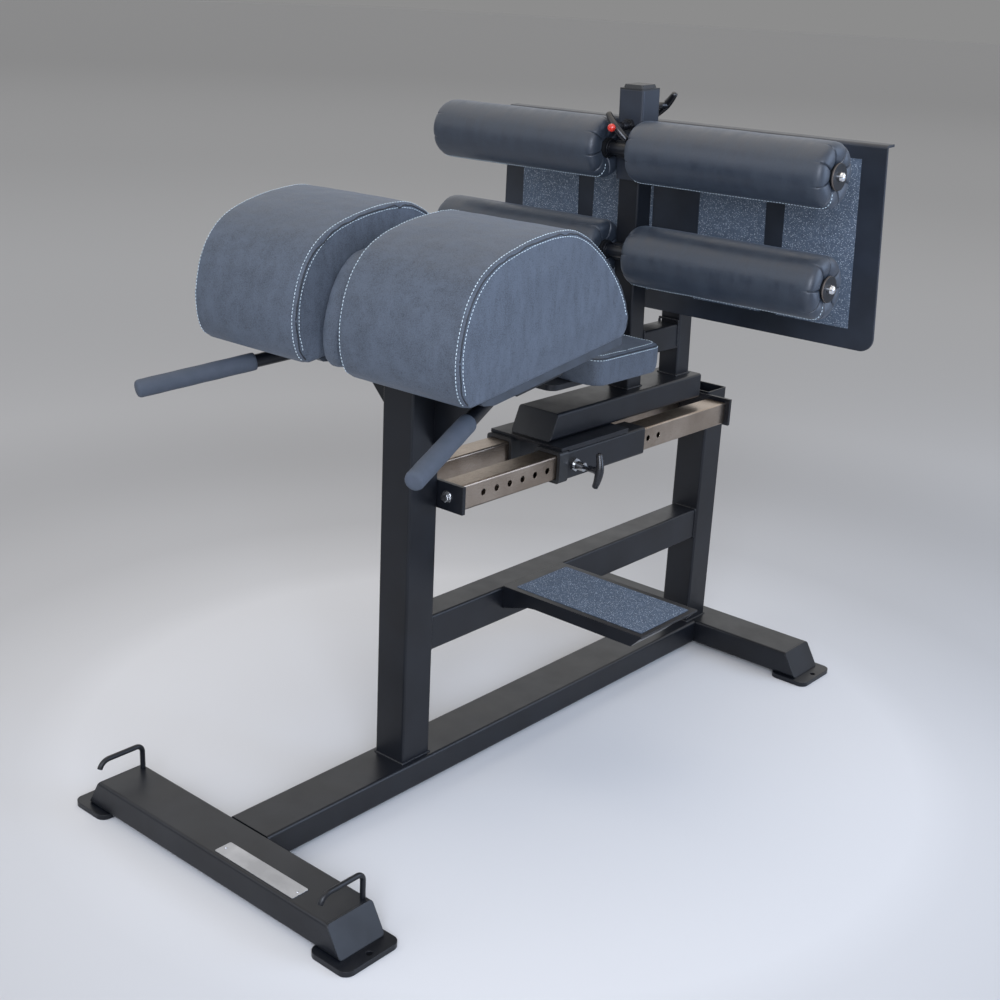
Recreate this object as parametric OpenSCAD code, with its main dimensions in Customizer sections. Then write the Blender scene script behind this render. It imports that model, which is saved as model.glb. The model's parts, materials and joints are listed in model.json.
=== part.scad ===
// Glute ham developer, an exercise bench. Sizes are in millimetres.
// X runs across the bench, Y from the handles at the front to the foot plate at the rear, Z up.
// The origin is on the floor, under the middle of the base.

/* [Base] */
// overall length over the outer faces of the two cross beams
base_length = 1562; // [1450:1:1700]
// width of the flat base beams
beam_width = 102; // [90:1:120]
// height of the flat base beams
beam_height = 55; // [45:1:65]
// wall of the base beams
beam_wall = 3; // [2:0.5:5]
// half length of the front cross beam at its top edge
front_beam_half = 312; // [260:1:380]
// half length of the rear cross beam at its top edge
rear_beam_half = 302; // [260:1:380]
// how far the bevelled ends run out from top to bottom
bevel_run = 32; // [15:1:45]
// thickness of the welded end plates
end_plate = 3; // [2:0.5:5]
// length of a foot plate along Y
foot_length = 126; // [112:1:150]
// width of a foot plate along X
foot_width = 92; // [70:1:110]
// thickness of a foot plate
foot_thick = 10; // [6:0.5:14]
// corner radius of a foot plate
foot_radius = 18; // [6:1:30]
// how far a foot plate stands out past the end of the beam
foot_reach = 30; // [10:1:40]
// bolt hole in a foot plate
foot_hole = 12; // [8:0.5:16]

/* [Uprights and crossbar] */
// side of the square uprights
upright_side = 75; // [60:1:90]
// wall of the uprights
upright_wall = 3; // [2:0.5:5]
// front face of the front upright behind the front of the base
upright_front_y = 453; // [400:1:520]
// near face of the rear upright ahead of the rear end of the base
upright_rear_set = 120; // [90:1:180]
// underside of the middle crossbar above the floor
crossbar_low = 282; // [220:1:340]
// height of the middle crossbar
crossbar_height = 73; // [50:1:90]
// width of the middle crossbar
crossbar_width = 64; // [50:1:75]
// corner radius of the square tubes
tube_radius = 5; // [2:0.5:8]

/* [Step] */
// near end of the step tray behind the front of the base
step_start = 740; // [700:1:800]
// length of the step tray along Y
step_length = 191; // [150:1:230]
// how far the step tray reaches out from the crossbar
step_reach = 343; // [250:1:400]
// sheet thickness of the step tray
step_sheet = 4; // [3:0.5:6]
// depth of the turned-down edges
step_edge = 26; // [18:1:40]

/* [Rails] */
// side of the square rails
rail_side = 50; // [44:1:56]
// wall of the rails
rail_wall = 3; // [2:0.5:4]
// middle of a rail from the middle plane
rail_x = 63; // [58:1:72]
// middle of the rails above the floor
rail_z = 606; // [560:1:650]
// thickness of the plates at the rail ends
rail_plate = 8; // [5:1:12]
// number of holes in each rail
rail_holes = 16; // [10:1:18]
// spacing of the rail holes
rail_pitch = 38.1; // [30:0.1:42]
// first rail hole behind the front of the base
rail_first = 599.7; // [590:0.1:620]
// rail hole that the pin stands at
pin_hole_index = 7; // [5:1:9]
// diameter of the rail holes
rail_hole = 13; // [10:0.5:16]

/* [Pads] */
// length of a thigh pad's flat underside
pad_length = 430; // [380:1:480]
// height of a thigh pad above its underside
pad_rise = 1; // [0.85:0.01:1.15]
// inner face of a thigh pad from the middle plane
pad_inner = 48; // [40:1:60]
// width of a thigh pad
pad_width = 278; // [240:1:300]
// tilt of the pads' underside
pad_tilt = 8.6; // [4:0.1:14]
// front lower edge of the pads behind the front of the base
pad_front_y = 268; // [230:1:320]
// front lower edge of the pads above the floor
pad_front_z = 872; // [850:1:900]
// half width of the narrow cushion between the pads
bridge_half = 22; // [18:1:30]
// board under each pad
board_thick = 15; // [9:1:18]

/* [Handles] */
// where a handle's axis starts behind the front of the base
handle_start = 403; // [380:1:430]
// height of that point above the floor
handle_z = 838; // [810:1:850]
// diameter of a handle rod
handle_rod = 25; // [18:0.5:28]
// diameter of a hand grip
grip_diameter = 33; // [28:0.5:40]
// length of a hand grip
grip_length = 224; // [180:1:250]
// length of a handle from its tube to its end
handle_length = 286; // [270:1:320]
// outward splay of the handles
handle_splay = 20.8; // [10:0.1:30]
// downward slope of the handles
handle_drop = 9; // [0:0.1:15]

/* [Carriage] */
// near end of the sleeves behind the front of the base
sleeve_start = 822; // [800:1:830]
// length of a sleeve
sleeve_length = 290; // [240:1:310]
// outer side of a sleeve
sleeve_side = 60; // [59:0.5:66]
// wall of a sleeve
sleeve_wall = 3; // [2.5:0.25:3.5]
// gap between rail and sleeve liner
rail_gap = 0.3; // [0.2:0.05:0.6]
// thickness of the plate across the sleeves
plate_across = 10; // [6:0.5:12]
// underside of the top beam's front end behind the front of the base
top_beam_start = 839; // [825:1:870]
// rear end of the top beam behind the front of the base
top_beam_end = 1380; // [1365:1:1400]
// thickness of the foot plate
plate_thick = 5; // [3:0.5:8]
// forward lean of the two posts, the rollers and the foot plate
post_lean = 2.5; // [0:0.1:5]
// front face of the foot plate, at the posts' feet, behind the front of the base
plate_y = 1312; // [1300:1:1320]
// half width of the foot plate at its lower corners
plate_half = 490; // [400:1:500]
// how much narrower each side is at the top
plate_taper = 14; // [0:1:30]
// lower edge of the foot plate, along the lean
plate_low = 835; // [825:1:870]
// upper edge of the foot plate, along the lean
plate_high = 1243; // [1200:1:1280]
// depth of the lip that is bent back
plate_lip = 28; // [18:1:40]
// side of the link and rear post tubes
post_side = 50; // [44:1:52]
// knee pad half width
knee_half = 150; // [120:1:180]
// near end of the knee pad behind the front of the base
knee_start = 853; // [845:1:856]
// knee pad length
knee_length = 216; // [190:1:246]
// knee pad thickness
knee_thick = 64; // [45:1:75]

/* [Rollers] */
// outer side of the sliding roller sleeve
slider_side = 60; // [58:0.5:64]
// gap between the inner post and the sliding sleeve
slider_gap = 0.3; // [0.2:0.05:0.6]
// front face of the sliding sleeve, at the posts' feet, behind the front of the base
slider_y = 1127; // [1118:1:1134]
// lower end of the sliding sleeve above the floor
slider_low = 1143; // [1130:1:1150]
// length of the sliding sleeve
slider_length = 178; // [172:1:186]
// diameter of the roller axles
axle_diameter = 25; // [20:0.5:30]
// middle of the upper axle above the floor
upper_axle_z = 1205; // [1190:1:1215]
// middle of the lower axle above the floor
lower_axle_z = 996; // [965:1:1005]
// diameter of a roller
roller_diameter = 124; // [110:1:132]
// inner end of a roller from the middle plane
roller_inner = 36; // [34:1:45]
// length of a roller
roller_length = 446; // [380:1:460]
// running gap between roller core and axle
roller_gap = 0.08; // [0.05:0.01:0.1]

/* [Pins] */
// diameter of a pin
pin_diameter = 9; // [7:0.5:11]
// running gap round a pin
pin_gap = 0.06; // [0.03:0.01:0.1]
// how far the pin's point stays clear of the tube behind it
pin_clear = 0.3; // [0.2:0.05:0.6]
// travel of a pull pin
pin_travel = 12; // [8:1:15]
// length of a T handle
tee_length = 72; // [50:1:90]
// distance of the sleeve pin's handle from the sleeve face
pin_stem = 66; // [50:1:80]
// height of the front roller pin above the floor
roller_pin_z = 1252; // [1244:1:1262]
// spacing of the holes in the inner post
post_pitch = 12.7; // [12.7:0.1:15]

/* [Hidden] */
fy = -base_length / 2;
upright_rear_y = base_length - upright_rear_set;
beam_top = foot_thick + beam_height;
pin_y = fy + rail_first + pin_hole_index * rail_pitch;
rail_low = rail_z - rail_side / 2;
rail_high = rail_z + rail_side / 2;
rail_front = fy + upright_front_y + upright_side + rail_plate;
rail_rear = fy + upright_rear_y - rail_plate;
sleeve_low = rail_z - sleeve_side / 2;
sleeve_high = rail_z + sleeve_side / 2;
sleeve_y = fy + sleeve_start;
liner_thick = (sleeve_side - 2 * sleeve_wall - rail_side - 2 * rail_gap) / 2;
top_low = sleeve_high + plate_across;
top_high = top_low + beam_height;
plate_front = fy + plate_y;
post_front = plate_front + plate_thick;
slider_wall = (slider_side - post_side - 2 * slider_gap) / 2;
slider_front = fy + slider_y;
inner_front = slider_front + slider_wall + slider_gap;
slider_high = slider_low + slider_length;
axle_up_y = slider_front - axle_diameter / 2 - 1;
axle_low_y = inner_front - axle_diameter / 2 - 1;
knee_low = top_high + 75;
knee_y = fy + knee_start;
inner_high = slider_high - post_pitch - 2;
core_r = 20;
big = 4000;
$fn = 48;

// plain block between two corners
module block(a, b) {
  translate(a)
    cube([b[0] - a[0], b[1] - a[1], b[2] - a[2]]);
}

// flat rectangle with rounded corners, centred
module round_rect(w, h, r) {
  square([w, h - 2 * r], center = true);
  square([w - 2 * r, h], center = true);
  for (sx = [-1, 1]) {
    for (sy = [-1, 1]) {
      translate([sx * (w / 2 - r), sy * (h / 2 - r)])
        circle(r = r, $fn = 24);
    }
  }
}

// section of a rectangular tube
module tube_section(w, h, r, wall) {
  difference() {
    round_rect(w, h, r);
    round_rect(w - 2 * wall, h - 2 * wall, max(r - wall, 0.8));
  }
}

// tube that stands along Z, centred in X and Y
module tube_z(w, h, r, wall, z0, z1) {
  translate([0, 0, z0])
    linear_extrude(height = z1 - z0)
      tube_section(w, h, r, wall);
}

// tube that lies along Y between y0 and y1, w across and h high, centred on x = 0 and z = 0
module tube_y(w, h, r, wall, y0, y1) {
  translate([0, y1, 0])
    rotate([90, 0, 0])
      linear_extrude(height = y1 - y0)
        tube_section(w, h, r, wall);
}

// tube that lies along X between x0 and x1, w along Y and h high
module tube_x(w, h, r, wall, x0, x1) {
  translate([x0, 0, 0])
    rotate([90, 0, 90])
      linear_extrude(height = x1 - x0)
        tube_section(w, h, r, wall);
}

module rod_x(r, x0, x1) {
  translate([x0, 0, 0])
    rotate([0, 90, 0])
      cylinder(r = r, h = x1 - x0);
}

module rod_y(r, y0, y1) {
  translate([0, y0, 0])
    rotate([-90, 0, 0])
      cylinder(r = r, h = y1 - y0);
}

// what stands on the top beam leans forward by the same angle
module leaning() {
  translate([0, inner_front, top_high])
    rotate([post_lean, 0, 0])
      translate([0, -inner_front, -top_high])
        children();
}

// a post along the lean, its foot cut level on the top beam
module post_tube(y, z1) {
  difference() {
    leaning()
      translate([0, y, 0])
        tube_z(post_side, post_side, 4, 3, top_high - 10, z1);
    block([-big, -big, -big], [big, big, top_high]);
  }
}

// both sides of the middle plane
module both() {
  children();
  mirror([1, 0, 0])
    children();
}

module bevel_prism(half, inset, y0, y1) {
  translate([0, y1, 0])
    rotate([90, 0, 0])
      linear_extrude(height = y1 - y0)
        polygon([[-half - bevel_run + inset, foot_thick], [half + bevel_run - inset, foot_thick],
          [half - inset, beam_top], [-half + inset, beam_top]]);
}

module cross_beam(half, y0, pale) {
  color(pale)
    intersection() {
      translate([0, y0 + beam_width / 2, foot_thick + beam_height / 2])
        tube_x(beam_width, beam_height, 6, beam_wall, -half - bevel_run, half + bevel_run);
      bevel_prism(half, end_plate, y0 - 1, y0 + beam_width + 1);
    }
}

module beam_end_plates(half, y0) {
  color("dimgray")
    intersection() {
      difference() {
        bevel_prism(half, 0, y0, y0 + beam_width);
        bevel_prism(half, end_plate, y0 - 1, y0 + beam_width + 1);
      }
      translate([0, y0 + beam_width / 2, foot_thick + beam_height / 2])
        rotate([90, 0, 90])
          linear_extrude(height = big, center = true)
            round_rect(beam_width, beam_height, 6);
    }
}

module foot_pair(half, y0) {
  color("dimgray")
    both()
      difference() {
        translate([half + bevel_run + foot_reach - foot_width / 2, y0, 0])
          linear_extrude(height = foot_thick)
            round_rect(foot_width, foot_length, foot_radius);
        translate([half + bevel_run + foot_reach - 14, y0 + 2, -1])
          cylinder(r = foot_hole / 2, h = foot_thick + 2);
      }
}

module base_beam() {
  color("dimgray")
    translate([0, 0, foot_thick + beam_height / 2])
      tube_y(beam_width, beam_height, 6, beam_wall, fy + beam_width, -fy - beam_width);
}

module front_cross_beam() {
  cross_beam(front_beam_half, fy, "dimgray");
}

module rear_cross_beam() {
  cross_beam(rear_beam_half, -fy - beam_width, "dimgray");
}

module beam_ends() {
  beam_end_plates(front_beam_half, fy);
  beam_end_plates(rear_beam_half, -fy - beam_width);
}

module foot_plates() {
  foot_pair(front_beam_half, fy - 15 + foot_length / 2);
  foot_pair(rear_beam_half, -fy + 15 - foot_length / 2);
}

hook_x = 300;
hook_r = 5;
hook_bend = 14;
hook_rise = 49;
hook_back = 92;
hook_front = 18;
hook_tip = 13;

// bent rod: it rises, turns forward over the beam and turns down to a free end
module band_hook(side) {
  color("dimgray")
    translate([side * hook_x, 0, 0]) {
      translate([0, fy + hook_back, beam_top])
        cylinder(r = hook_r, h = hook_rise - hook_bend);
      translate([0, fy + hook_back - hook_bend, beam_top + hook_rise - hook_bend])
        rotate([90, 0, 90])
          rotate_extrude(angle = 90)
            translate([hook_bend, 0])
              circle(r = hook_r, $fn = 24);
      translate([0, 0, beam_top + hook_rise])
        rod_y(hook_r, fy + hook_front, fy + hook_back - hook_bend);
      translate([0, fy + hook_front, beam_top + hook_rise - 22])
        rotate([90, 0, 90])
          rotate([0, 0, 90])
            rotate_extrude(angle = 70)
              translate([22, 0])
                circle(r = hook_r, $fn = 24);
    }
}

module band_hooks() {
  band_hook(-1);
  band_hook(1);
}

name_y = 9;
name_depth = 36;
name_x = 18;
name_length = 202;

module name_plate() {
  color("silver")
    translate([name_x + name_length / 2, fy + name_y + name_depth / 2, beam_top])
      linear_extrude(height = 1.2)
        round_rect(name_length, name_depth, 3);
}

module name_plate_rivets() {
  color("silver")
    for (x = [name_x + 8, name_x + name_length - 8]) {
      translate([x, fy + name_y + name_depth / 2, beam_top + 1.2])
        cylinder(r1 = 2.6, r2 = 1.6, h = 1.2);
    }
}

// flat face that the pads and their boards share, tilted up towards the rear
module pad_frame() {
  translate([0, fy + pad_front_y, pad_front_z])
    rotate([pad_tilt, 0, 0])
      children();
}

head_low = board_thick + 6 + 8;

module front_upright() {
  color("dimgray")
    difference() {
      translate([0, fy + upright_front_y + upright_side / 2, 0])
        tube_z(upright_side, upright_side, tube_radius, upright_wall, beam_top, pad_front_z + 80);
      pad_frame()
        block([-big, -big, -head_low], [big, big, big]);
    }
}

module rear_upright() {
  color("dimgray")
    translate([0, fy + upright_rear_y + upright_side / 2, 0])
      tube_z(upright_side, upright_side, tube_radius, upright_wall, beam_top, rail_high + 13);
}

module mid_crossbar() {
  color("dimgray")
    translate([0, 0, crossbar_low + crossbar_height / 2])
      tube_y(crossbar_width, crossbar_height, tube_radius, upright_wall,
        fy + upright_front_y + upright_side, fy + upright_rear_y);
}

step_x0 = crossbar_width / 2;
step_x1 = step_x0 + step_reach;
step_y0 = fy + step_start;
step_y1 = step_y0 + step_length;
step_top = crossbar_low + crossbar_height + 3;
step_low = step_top - step_edge;

flap_run = 23;

// end flap folded in under the tray, cut away towards the rear
module step_flap() {
  l = step_length;
  intersection() {
    translate([0, step_y1, 0])
      rotate([90, 0, 0])
        linear_extrude(height = l)
          polygon([[step_x1, step_top], [step_x1, step_top - 2], [step_x1 - flap_run, step_low],
            [step_x1 - flap_run - step_sheet, step_low], [step_x1 - step_sheet - 2, step_top]]);
    translate([0, step_y0, step_top])
      rotate([90, 0, 90])
        linear_extrude(height = big)
          polygon([[0, 0], [l, 0], [l, -5], [l * 0.66, -6], [l * 0.6, -step_edge * 0.55],
            [l * 0.52, -step_edge - 1], [0, -step_edge - 1]]);
  }
}

// folded tray, its near and far edges deeper towards the crossbar
module step_tray() {
  color("dimgray") {
    block([step_x0, step_y0, step_top - step_sheet], [step_x1, step_y1, step_top]);
    block([step_x0, step_y0, step_low - 22], [step_x0 + step_sheet, step_y1, step_top]);
    step_flap();
    for (y = [step_y0 + step_sheet, step_y1]) {
      translate([0, y, 0])
        rotate([90, 0, 0])
          linear_extrude(height = step_sheet)
            polygon([[step_x0, step_low - 22], [step_x0 + 30, step_low - 14],
              [step_x0 + 66, step_low - 2], [step_x0 + 84, step_low], [step_x1 - flap_run, step_low],
              [step_x1, step_top - 2], [step_x1, step_top], [step_x0, step_top]]);
    }
  }
}

module step_grip() {
  color("black")
    translate([(step_x0 + step_x1) / 2 + 6, (step_y0 + step_y1) / 2, step_top])
      linear_extrude(height = 0.8)
        round_rect(step_reach - 34, step_length - 30, 3);
}

module rail(side) {
  color("silver")
    difference() {
      translate([side * rail_x, 0, rail_z])
        tube_y(rail_side, rail_side, 4, rail_wall, rail_front, rail_rear);
      for (i = [0 : rail_holes - 1]) {
        translate([0, fy + rail_first + i * rail_pitch, rail_z])
          rod_x(rail_hole / 2, (side > 0 ? 0 : -rail_side) + side * rail_x,
            (side > 0 ? rail_side : 0) + side * rail_x);
      }
    }
}

module rail_left() {
  rail(-1);
}

module rail_right() {
  rail(1);
}

plate_reach = rail_x + rail_side / 2 + 12;

module rail_plates() {
  color("dimgray") {
    block([-plate_reach, rail_front - rail_plate, rail_low - 2], [plate_reach, rail_front, rail_high + 2]);
    block([-plate_reach, rail_rear, rail_low - 2], [plate_reach, rail_rear + rail_plate, rail_high + 9]);
  }
}

module rail_bolts() {
  color("silver")
    for (x = [-60, 60]) {
      translate([x, rail_front - rail_plate - 6, rail_z])
        rod_y(7, 0, 6);
      translate([x, rail_rear + rail_plate, rail_z])
        rod_y(7, 0, 6);
    }
}

handle_x = 243;
// how far a rod reaches back under the head plate from its starting point
rod_back = 95;

// a handle's own frame: Z runs out along the rod
module handle_frame() {
  translate([handle_x, fy + handle_start, handle_z])
    rotate([0, 0, handle_splay])
      rotate([90 + handle_drop, 0, 0])
        children();
}

module handle_rods() {
  color("dimgray")
    both()
      handle_frame()
        translate([0, 0, -rod_back])
          cylinder(r = handle_rod / 2, h = handle_length + rod_back - 6);
}

mount_in = 197;
mount_out = 235;
mount_front = 438;
mount_back = 486;
gusset_low = 700;
gusset_out = 196;
gusset_rise = 1.027;
gusset_y = 512;
gusset_thick = 8;

// side plates between the front upright and the head plate, and the blocks that the rods are welded to
module head_brackets() {
  color("dimgray")
    difference() {
      both() {
        difference() {
          block([mount_in, fy + mount_front, handle_z + 8], [mount_out, fy + mount_back, handle_z + 60]);
          handle_frame()
            translate([0, 0, -rod_back - 1])
              cylinder(r = handle_rod / 2, h = rod_back + 2);
        }
        translate([0, fy + gusset_y + gusset_thick, 0])
          rotate([90, 0, 0])
            linear_extrude(height = gusset_thick)
              polygon([[upright_side / 2, gusset_low],
                [gusset_out, gusset_low + (gusset_out - upright_side / 2) * gusset_rise],
                [gusset_out, 920], [upright_side / 2, 920]]);
      }
      pad_frame()
        block([-big, -big, -head_low], [big, big, big]);
    }
}

module hand_grips() {
  color("black")
    both()
      handle_frame()
        translate([0, 0, handle_length - grip_length])
          rotate_extrude()
            polygon([[handle_rod / 2, 0], [grip_diameter / 2 - 2, 0], [grip_diameter / 2, 3],
              [grip_diameter / 2, grip_length - 9], [grip_diameter / 2 - 2, grip_length - 3],
              [grip_diameter / 2 - 6, grip_length], [0, grip_length], [0, grip_length - 6],
              [handle_rod / 2, grip_length - 6]]);
}

// plate welded on the upright, with the bars that bear the boards
head_half = 300;
head_depth = 120;
bearer_outer = 235;
bearer_inner = 110;
bearer_width = 36;

module pad_head() {
  color("dimgray")
    pad_frame() {
      block([-head_half, pad_mid - head_depth / 2, -head_low],
        [head_half, pad_mid + head_depth / 2, -head_low + 8]);
      for (x = [-bearer_outer, -bearer_inner, 0, bearer_inner, bearer_outer]) {
        block([x - bearer_width / 2, pad_mid - 95, -board_thick - 6],
          [x + bearer_width / 2, pad_length - 60, -board_thick]);
      }
    }
}

// covered board from x0 to x1, its front lower edge rounded off
module pad_board(x0, x1, y0, y1) {
  translate([x0, 0, 0])
    rotate([90, 0, 90])
      linear_extrude(height = x1 - x0)
        polygon([[y0, -0.3], [y0 + 8, -8], [y0 + 34, -board_thick], [y1 - 4, -board_thick], [y1, -0.3]]);
}

module pad_boards() {
  color("dimgray")
    pad_frame() {
      both()
        pad_board(pad_inner + 6, pad_inner + pad_width - 8, 46, pad_length - 8);
      pad_board(-bridge_half + 3, bridge_half - 3, 60, pad_length - 40);
    }
}

// side outline of a thigh pad in its own tilted frame: along the underside, and above it
pad_outline = [[14, 0], [5, 6], [-1, 14], [-5, 24], [-9, 46], [-8, 70], [-3, 96], [4, 118], [12, 138],
  [22, 157], [35, 175], [50, 191], [68, 205], [88, 215], [110, 222], [138, 227], [168, 230], [198, 232],
  [228, 232], [258, 230], [284, 226], [304, 219], [322, 209], [340, 196], [360, 178], [379, 157],
  [397, 134], [412, 113], [424, 92], [433, 70], [438, 48], [440, 31], [438, 15], [433, 4], [424, 0],
  [380, 0], [320, 0], [250, 0], [180, 0], [110, 0], [50, 0]];

function ring_mid(r) = [for (k = [0 : 2]) [for (p = r) p[k]] * [for (p = r) 1] / len(r)];

// closed form through equal rings of points
module loft(rings) {
  n = len(rings[0]);
  m = len(rings);
  pts = concat([for (r = rings) for (p = r) p], [ring_mid(rings[0]), ring_mid(rings[m - 1])]);
  sides = [for (j = [0 : m - 2]) for (i = [0 : n - 1])
    for (t = [0, 1])
      t == 0 ? [j * n + i, j * n + (i + 1) % n, (j + 1) * n + (i + 1) % n]
        : [j * n + i, (j + 1) * n + (i + 1) % n, (j + 1) * n + i]];
  low = [for (i = [0 : n - 1]) [m * n, (i + 1) % n, i]];
  high = [for (i = [0 : n - 1]) [m * n + 1, (m - 1) * n + i, (m - 1) * n + (i + 1) % n]];
  polyhedron(points = pts, faces = concat(low, sides, high), convexity = 6);
}

pad_mid = pad_length / 2;
pad_size = pad_length / 430;

function pad_ring(x, s) = [for (p = pad_outline)
  [x, pad_mid + (p[0] * pad_size - pad_mid) * s, p[1] * pad_rise * pad_size * s]];

// the cover is drawn in at the seams and crowned between them
module thigh_pad(side) {
  w = pad_width;
  c = side * (pad_inner + w / 2);
  st = [[-0.5, 0.985], [-0.494, 0.993], [-0.475, 0.998], [-0.42, 1], [-0.25, 1.004], [0, 1.006],
    [0.25, 1.004], [0.42, 1], [0.475, 0.998], [0.494, 0.993], [0.5, 0.985]];
  color("slategray")
    pad_frame()
      loft([for (k = st) pad_ring(c + k[0] * w, k[1])]);
}

module thigh_pad_left() {
  thigh_pad(-1);
}

module thigh_pad_right() {
  thigh_pad(1);
}

// the same for the narrow cushion between the two, lower and flat on top
bridge_outline = [[34, 0], [26, 8], [21, 22], [20, 42], [25, 70], [38, 103], [50, 126], [64, 145],
  [78, 159], [94, 171], [106, 177], [120, 181], [150, 183], [200, 184], [250, 183], [290, 181], [312, 177],
  [332, 169], [350, 156], [366, 139], [380, 118], [391, 94], [399, 68], [403, 40], [402, 16], [396, 0],
  [340, 0], [280, 0], [215, 0], [150, 0], [80, 0]];

function bridge_ring(x, s) = [for (p = bridge_outline)
  [x, pad_mid + (p[0] * pad_size - pad_mid) * s, p[1] * pad_size * s]];

module pad_bridge() {
  color("slategray")
    pad_frame()
      loft([for (k = [[-1, 0.93], [-0.94, 0.965], [-0.8, 0.988], [-0.5, 0.998], [0, 1], [0.5, 0.998],
        [0.8, 0.988], [0.94, 0.965], [1, 0.93]]) bridge_ring(k[0] * bridge_half, k[1])]);
}

pin_r = pin_diameter / 2;
pin_bore = pin_r + pin_gap;

module sleeve(side) {
  color("dimgray")
    difference() {
      translate([side * rail_x, 0, rail_z])
        tube_y(sleeve_side, sleeve_side, 6, sleeve_wall, sleeve_y, sleeve_y + sleeve_length);
      if (side > 0)
        translate([0, pin_y, rail_z])
          rod_x(pin_bore, rail_x, rail_x + sleeve_side);
    }
}

module sleeve_left() {
  sleeve(-1);
}

module sleeve_right() {
  sleeve(1);
}

liner_length = 36;
liner_outer = sleeve_side - 2 * sleeve_wall;

module sleeve_liners() {
  color("black")
    for (x = [-rail_x, rail_x]) {
      for (y = [sleeve_y + liner_length, sleeve_y + sleeve_length]) {
        translate([x, y, rail_z])
          rotate([90, 0, 0])
            linear_extrude(height = liner_length)
              difference() {
                round_rect(liner_outer, liner_outer, 6 - sleeve_wall);
                round_rect(liner_outer - 2 * liner_thick, liner_outer - 2 * liner_thick, 3.7);
              }
      }
    }
}

collar_side = sleeve_side + 6;
collar_lip = 4;
collar_length = 28;

module sleeve_collars() {
  color("dimgray")
    for (x = [-rail_x, rail_x]) {
      translate([x, sleeve_y + collar_length - collar_lip, rail_z])
        rotate([90, 0, 0])
          linear_extrude(height = collar_length - collar_lip)
            difference() {
              round_rect(collar_side, collar_side, 7);
              round_rect(sleeve_side + 0.1, sleeve_side + 0.1, 6);
            }
      translate([x, sleeve_y, rail_z])
        rotate([90, 0, 0])
          linear_extrude(height = collar_lip)
            difference() {
              round_rect(collar_side, collar_side, 7);
              round_rect(rail_side + 1.6, rail_side + 1.6, 4);
            }
    }
}

cross_half = rail_x + sleeve_side / 2;
bar_low = rail_z + collar_side / 2;

// lies on the sleeves, its near edge thinned over the collars
module carriage_plate() {
  color("dimgray") {
    block([-cross_half, sleeve_y + 4, bar_low], [cross_half, sleeve_y + collar_length + 2, top_low]);
    block([-cross_half, sleeve_y + collar_length, sleeve_high], [cross_half, sleeve_y + 228, top_low]);
  }
}

top_bevel = 25;

module top_prism(inset, ahead) {
  rotate([90, 0, 90])
    linear_extrude(height = big, center = true)
      polygon([[fy + top_beam_start + inset - ahead, top_low - 1], [fy + top_beam_end - inset, top_low - 1],
        [fy + top_beam_end - inset, top_high + 1], [fy + top_beam_start + top_bevel + inset, top_high + 1]]);
}

module top_beam() {
  color("dimgray")
    intersection() {
      translate([0, 0, (top_low + top_high) / 2])
        tube_y(beam_width, beam_height, 6, beam_wall, fy + top_beam_start - 5, fy + top_beam_end);
      top_prism(end_plate, 0);
    }
}

// the plates that close the beam's two ends
module top_beam_ends() {
  color("dimgray")
    intersection() {
      translate([0, fy + top_beam_end, (top_low + top_high) / 2])
        rotate([90, 0, 0])
          linear_extrude(height = top_beam_end - top_beam_start + 5)
            round_rect(beam_width, beam_height, 6);
      difference() {
        top_prism(0, 0);
        top_prism(end_plate, 0);
      }
    }
}

sleeve_face = rail_x + sleeve_side / 2;
nut_thick = 8;
barrel_r = 9;
barrel_length = 20;

// six-sided base and round barrel along Z, bored for the pin
module pin_housing() {
  difference() {
    union() {
      cylinder(r = 14, h = nut_thick, $fn = 6);
      cylinder(r = barrel_r, h = nut_thick + barrel_length);
    }
    translate([0, 0, -1])
      cylinder(r = pin_bore, h = nut_thick + barrel_length + 2);
  }
}

module rail_pin_housing() {
  color("silver")
    translate([sleeve_face, pin_y, rail_z])
      rotate([0, 90, 0])
        pin_housing();
}

// a T handle's bar along X, thinner at its ends
module tee_bar(r) {
  rotate([0, 90, 0])
    rotate_extrude()
      polygon([[0, -tee_length / 2], [r - 2.5, -tee_length / 2], [r - 1.2, -tee_length / 2 + 2],
        [r, -8], [r, 8], [r - 1.2, tee_length / 2 - 2], [r - 2.5, tee_length / 2],
        [0, tee_length / 2]]);
}

module rail_pin() {
  color("black")
    translate([0, pin_y, rail_z]) {
      rod_x(pin_r, rail_x + rail_side / 2 + pin_clear, sleeve_face + pin_stem);
      translate([sleeve_face + pin_stem, 0, 0])
        rotate([0, 90, 0])
          tee_bar(tee_r);
    }
}

knee_board = 12;
knee_board_half = 82;
knee_board_ahead = 55;
knee_arm = 24;

// arm welded on the roller post, with the board that the knee pad is screwed to
module knee_block() {
  color("dimgray") {
    translate([0, knee_y + knee_length / 2 - knee_board_ahead / 2 - 5, knee_low - knee_board])
      linear_extrude(height = knee_board)
        round_rect(2 * knee_board_half, knee_length + knee_board_ahead - 10, 20);
    difference() {
      block([-22, knee_y + 60, knee_low - knee_board - knee_arm],
        [22, inner_front + 5, knee_low - knee_board]);
      leaning()
        block([-big, inner_front, -big], [big, big, big]);
    }
  }
}

function pillow_ring(x, hy, hz, r) = [for (q = [0 : 3]) for (a = [0 : 3])
  [x, (q == 0 || q == 3 ? -1 : 1) * (hy - r) - r * cos(a * 30 + q * 90),
    (q < 2 ? 1 : -1) * (hz - r) + r * sin(a * 30 + q * 90)]];

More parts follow.
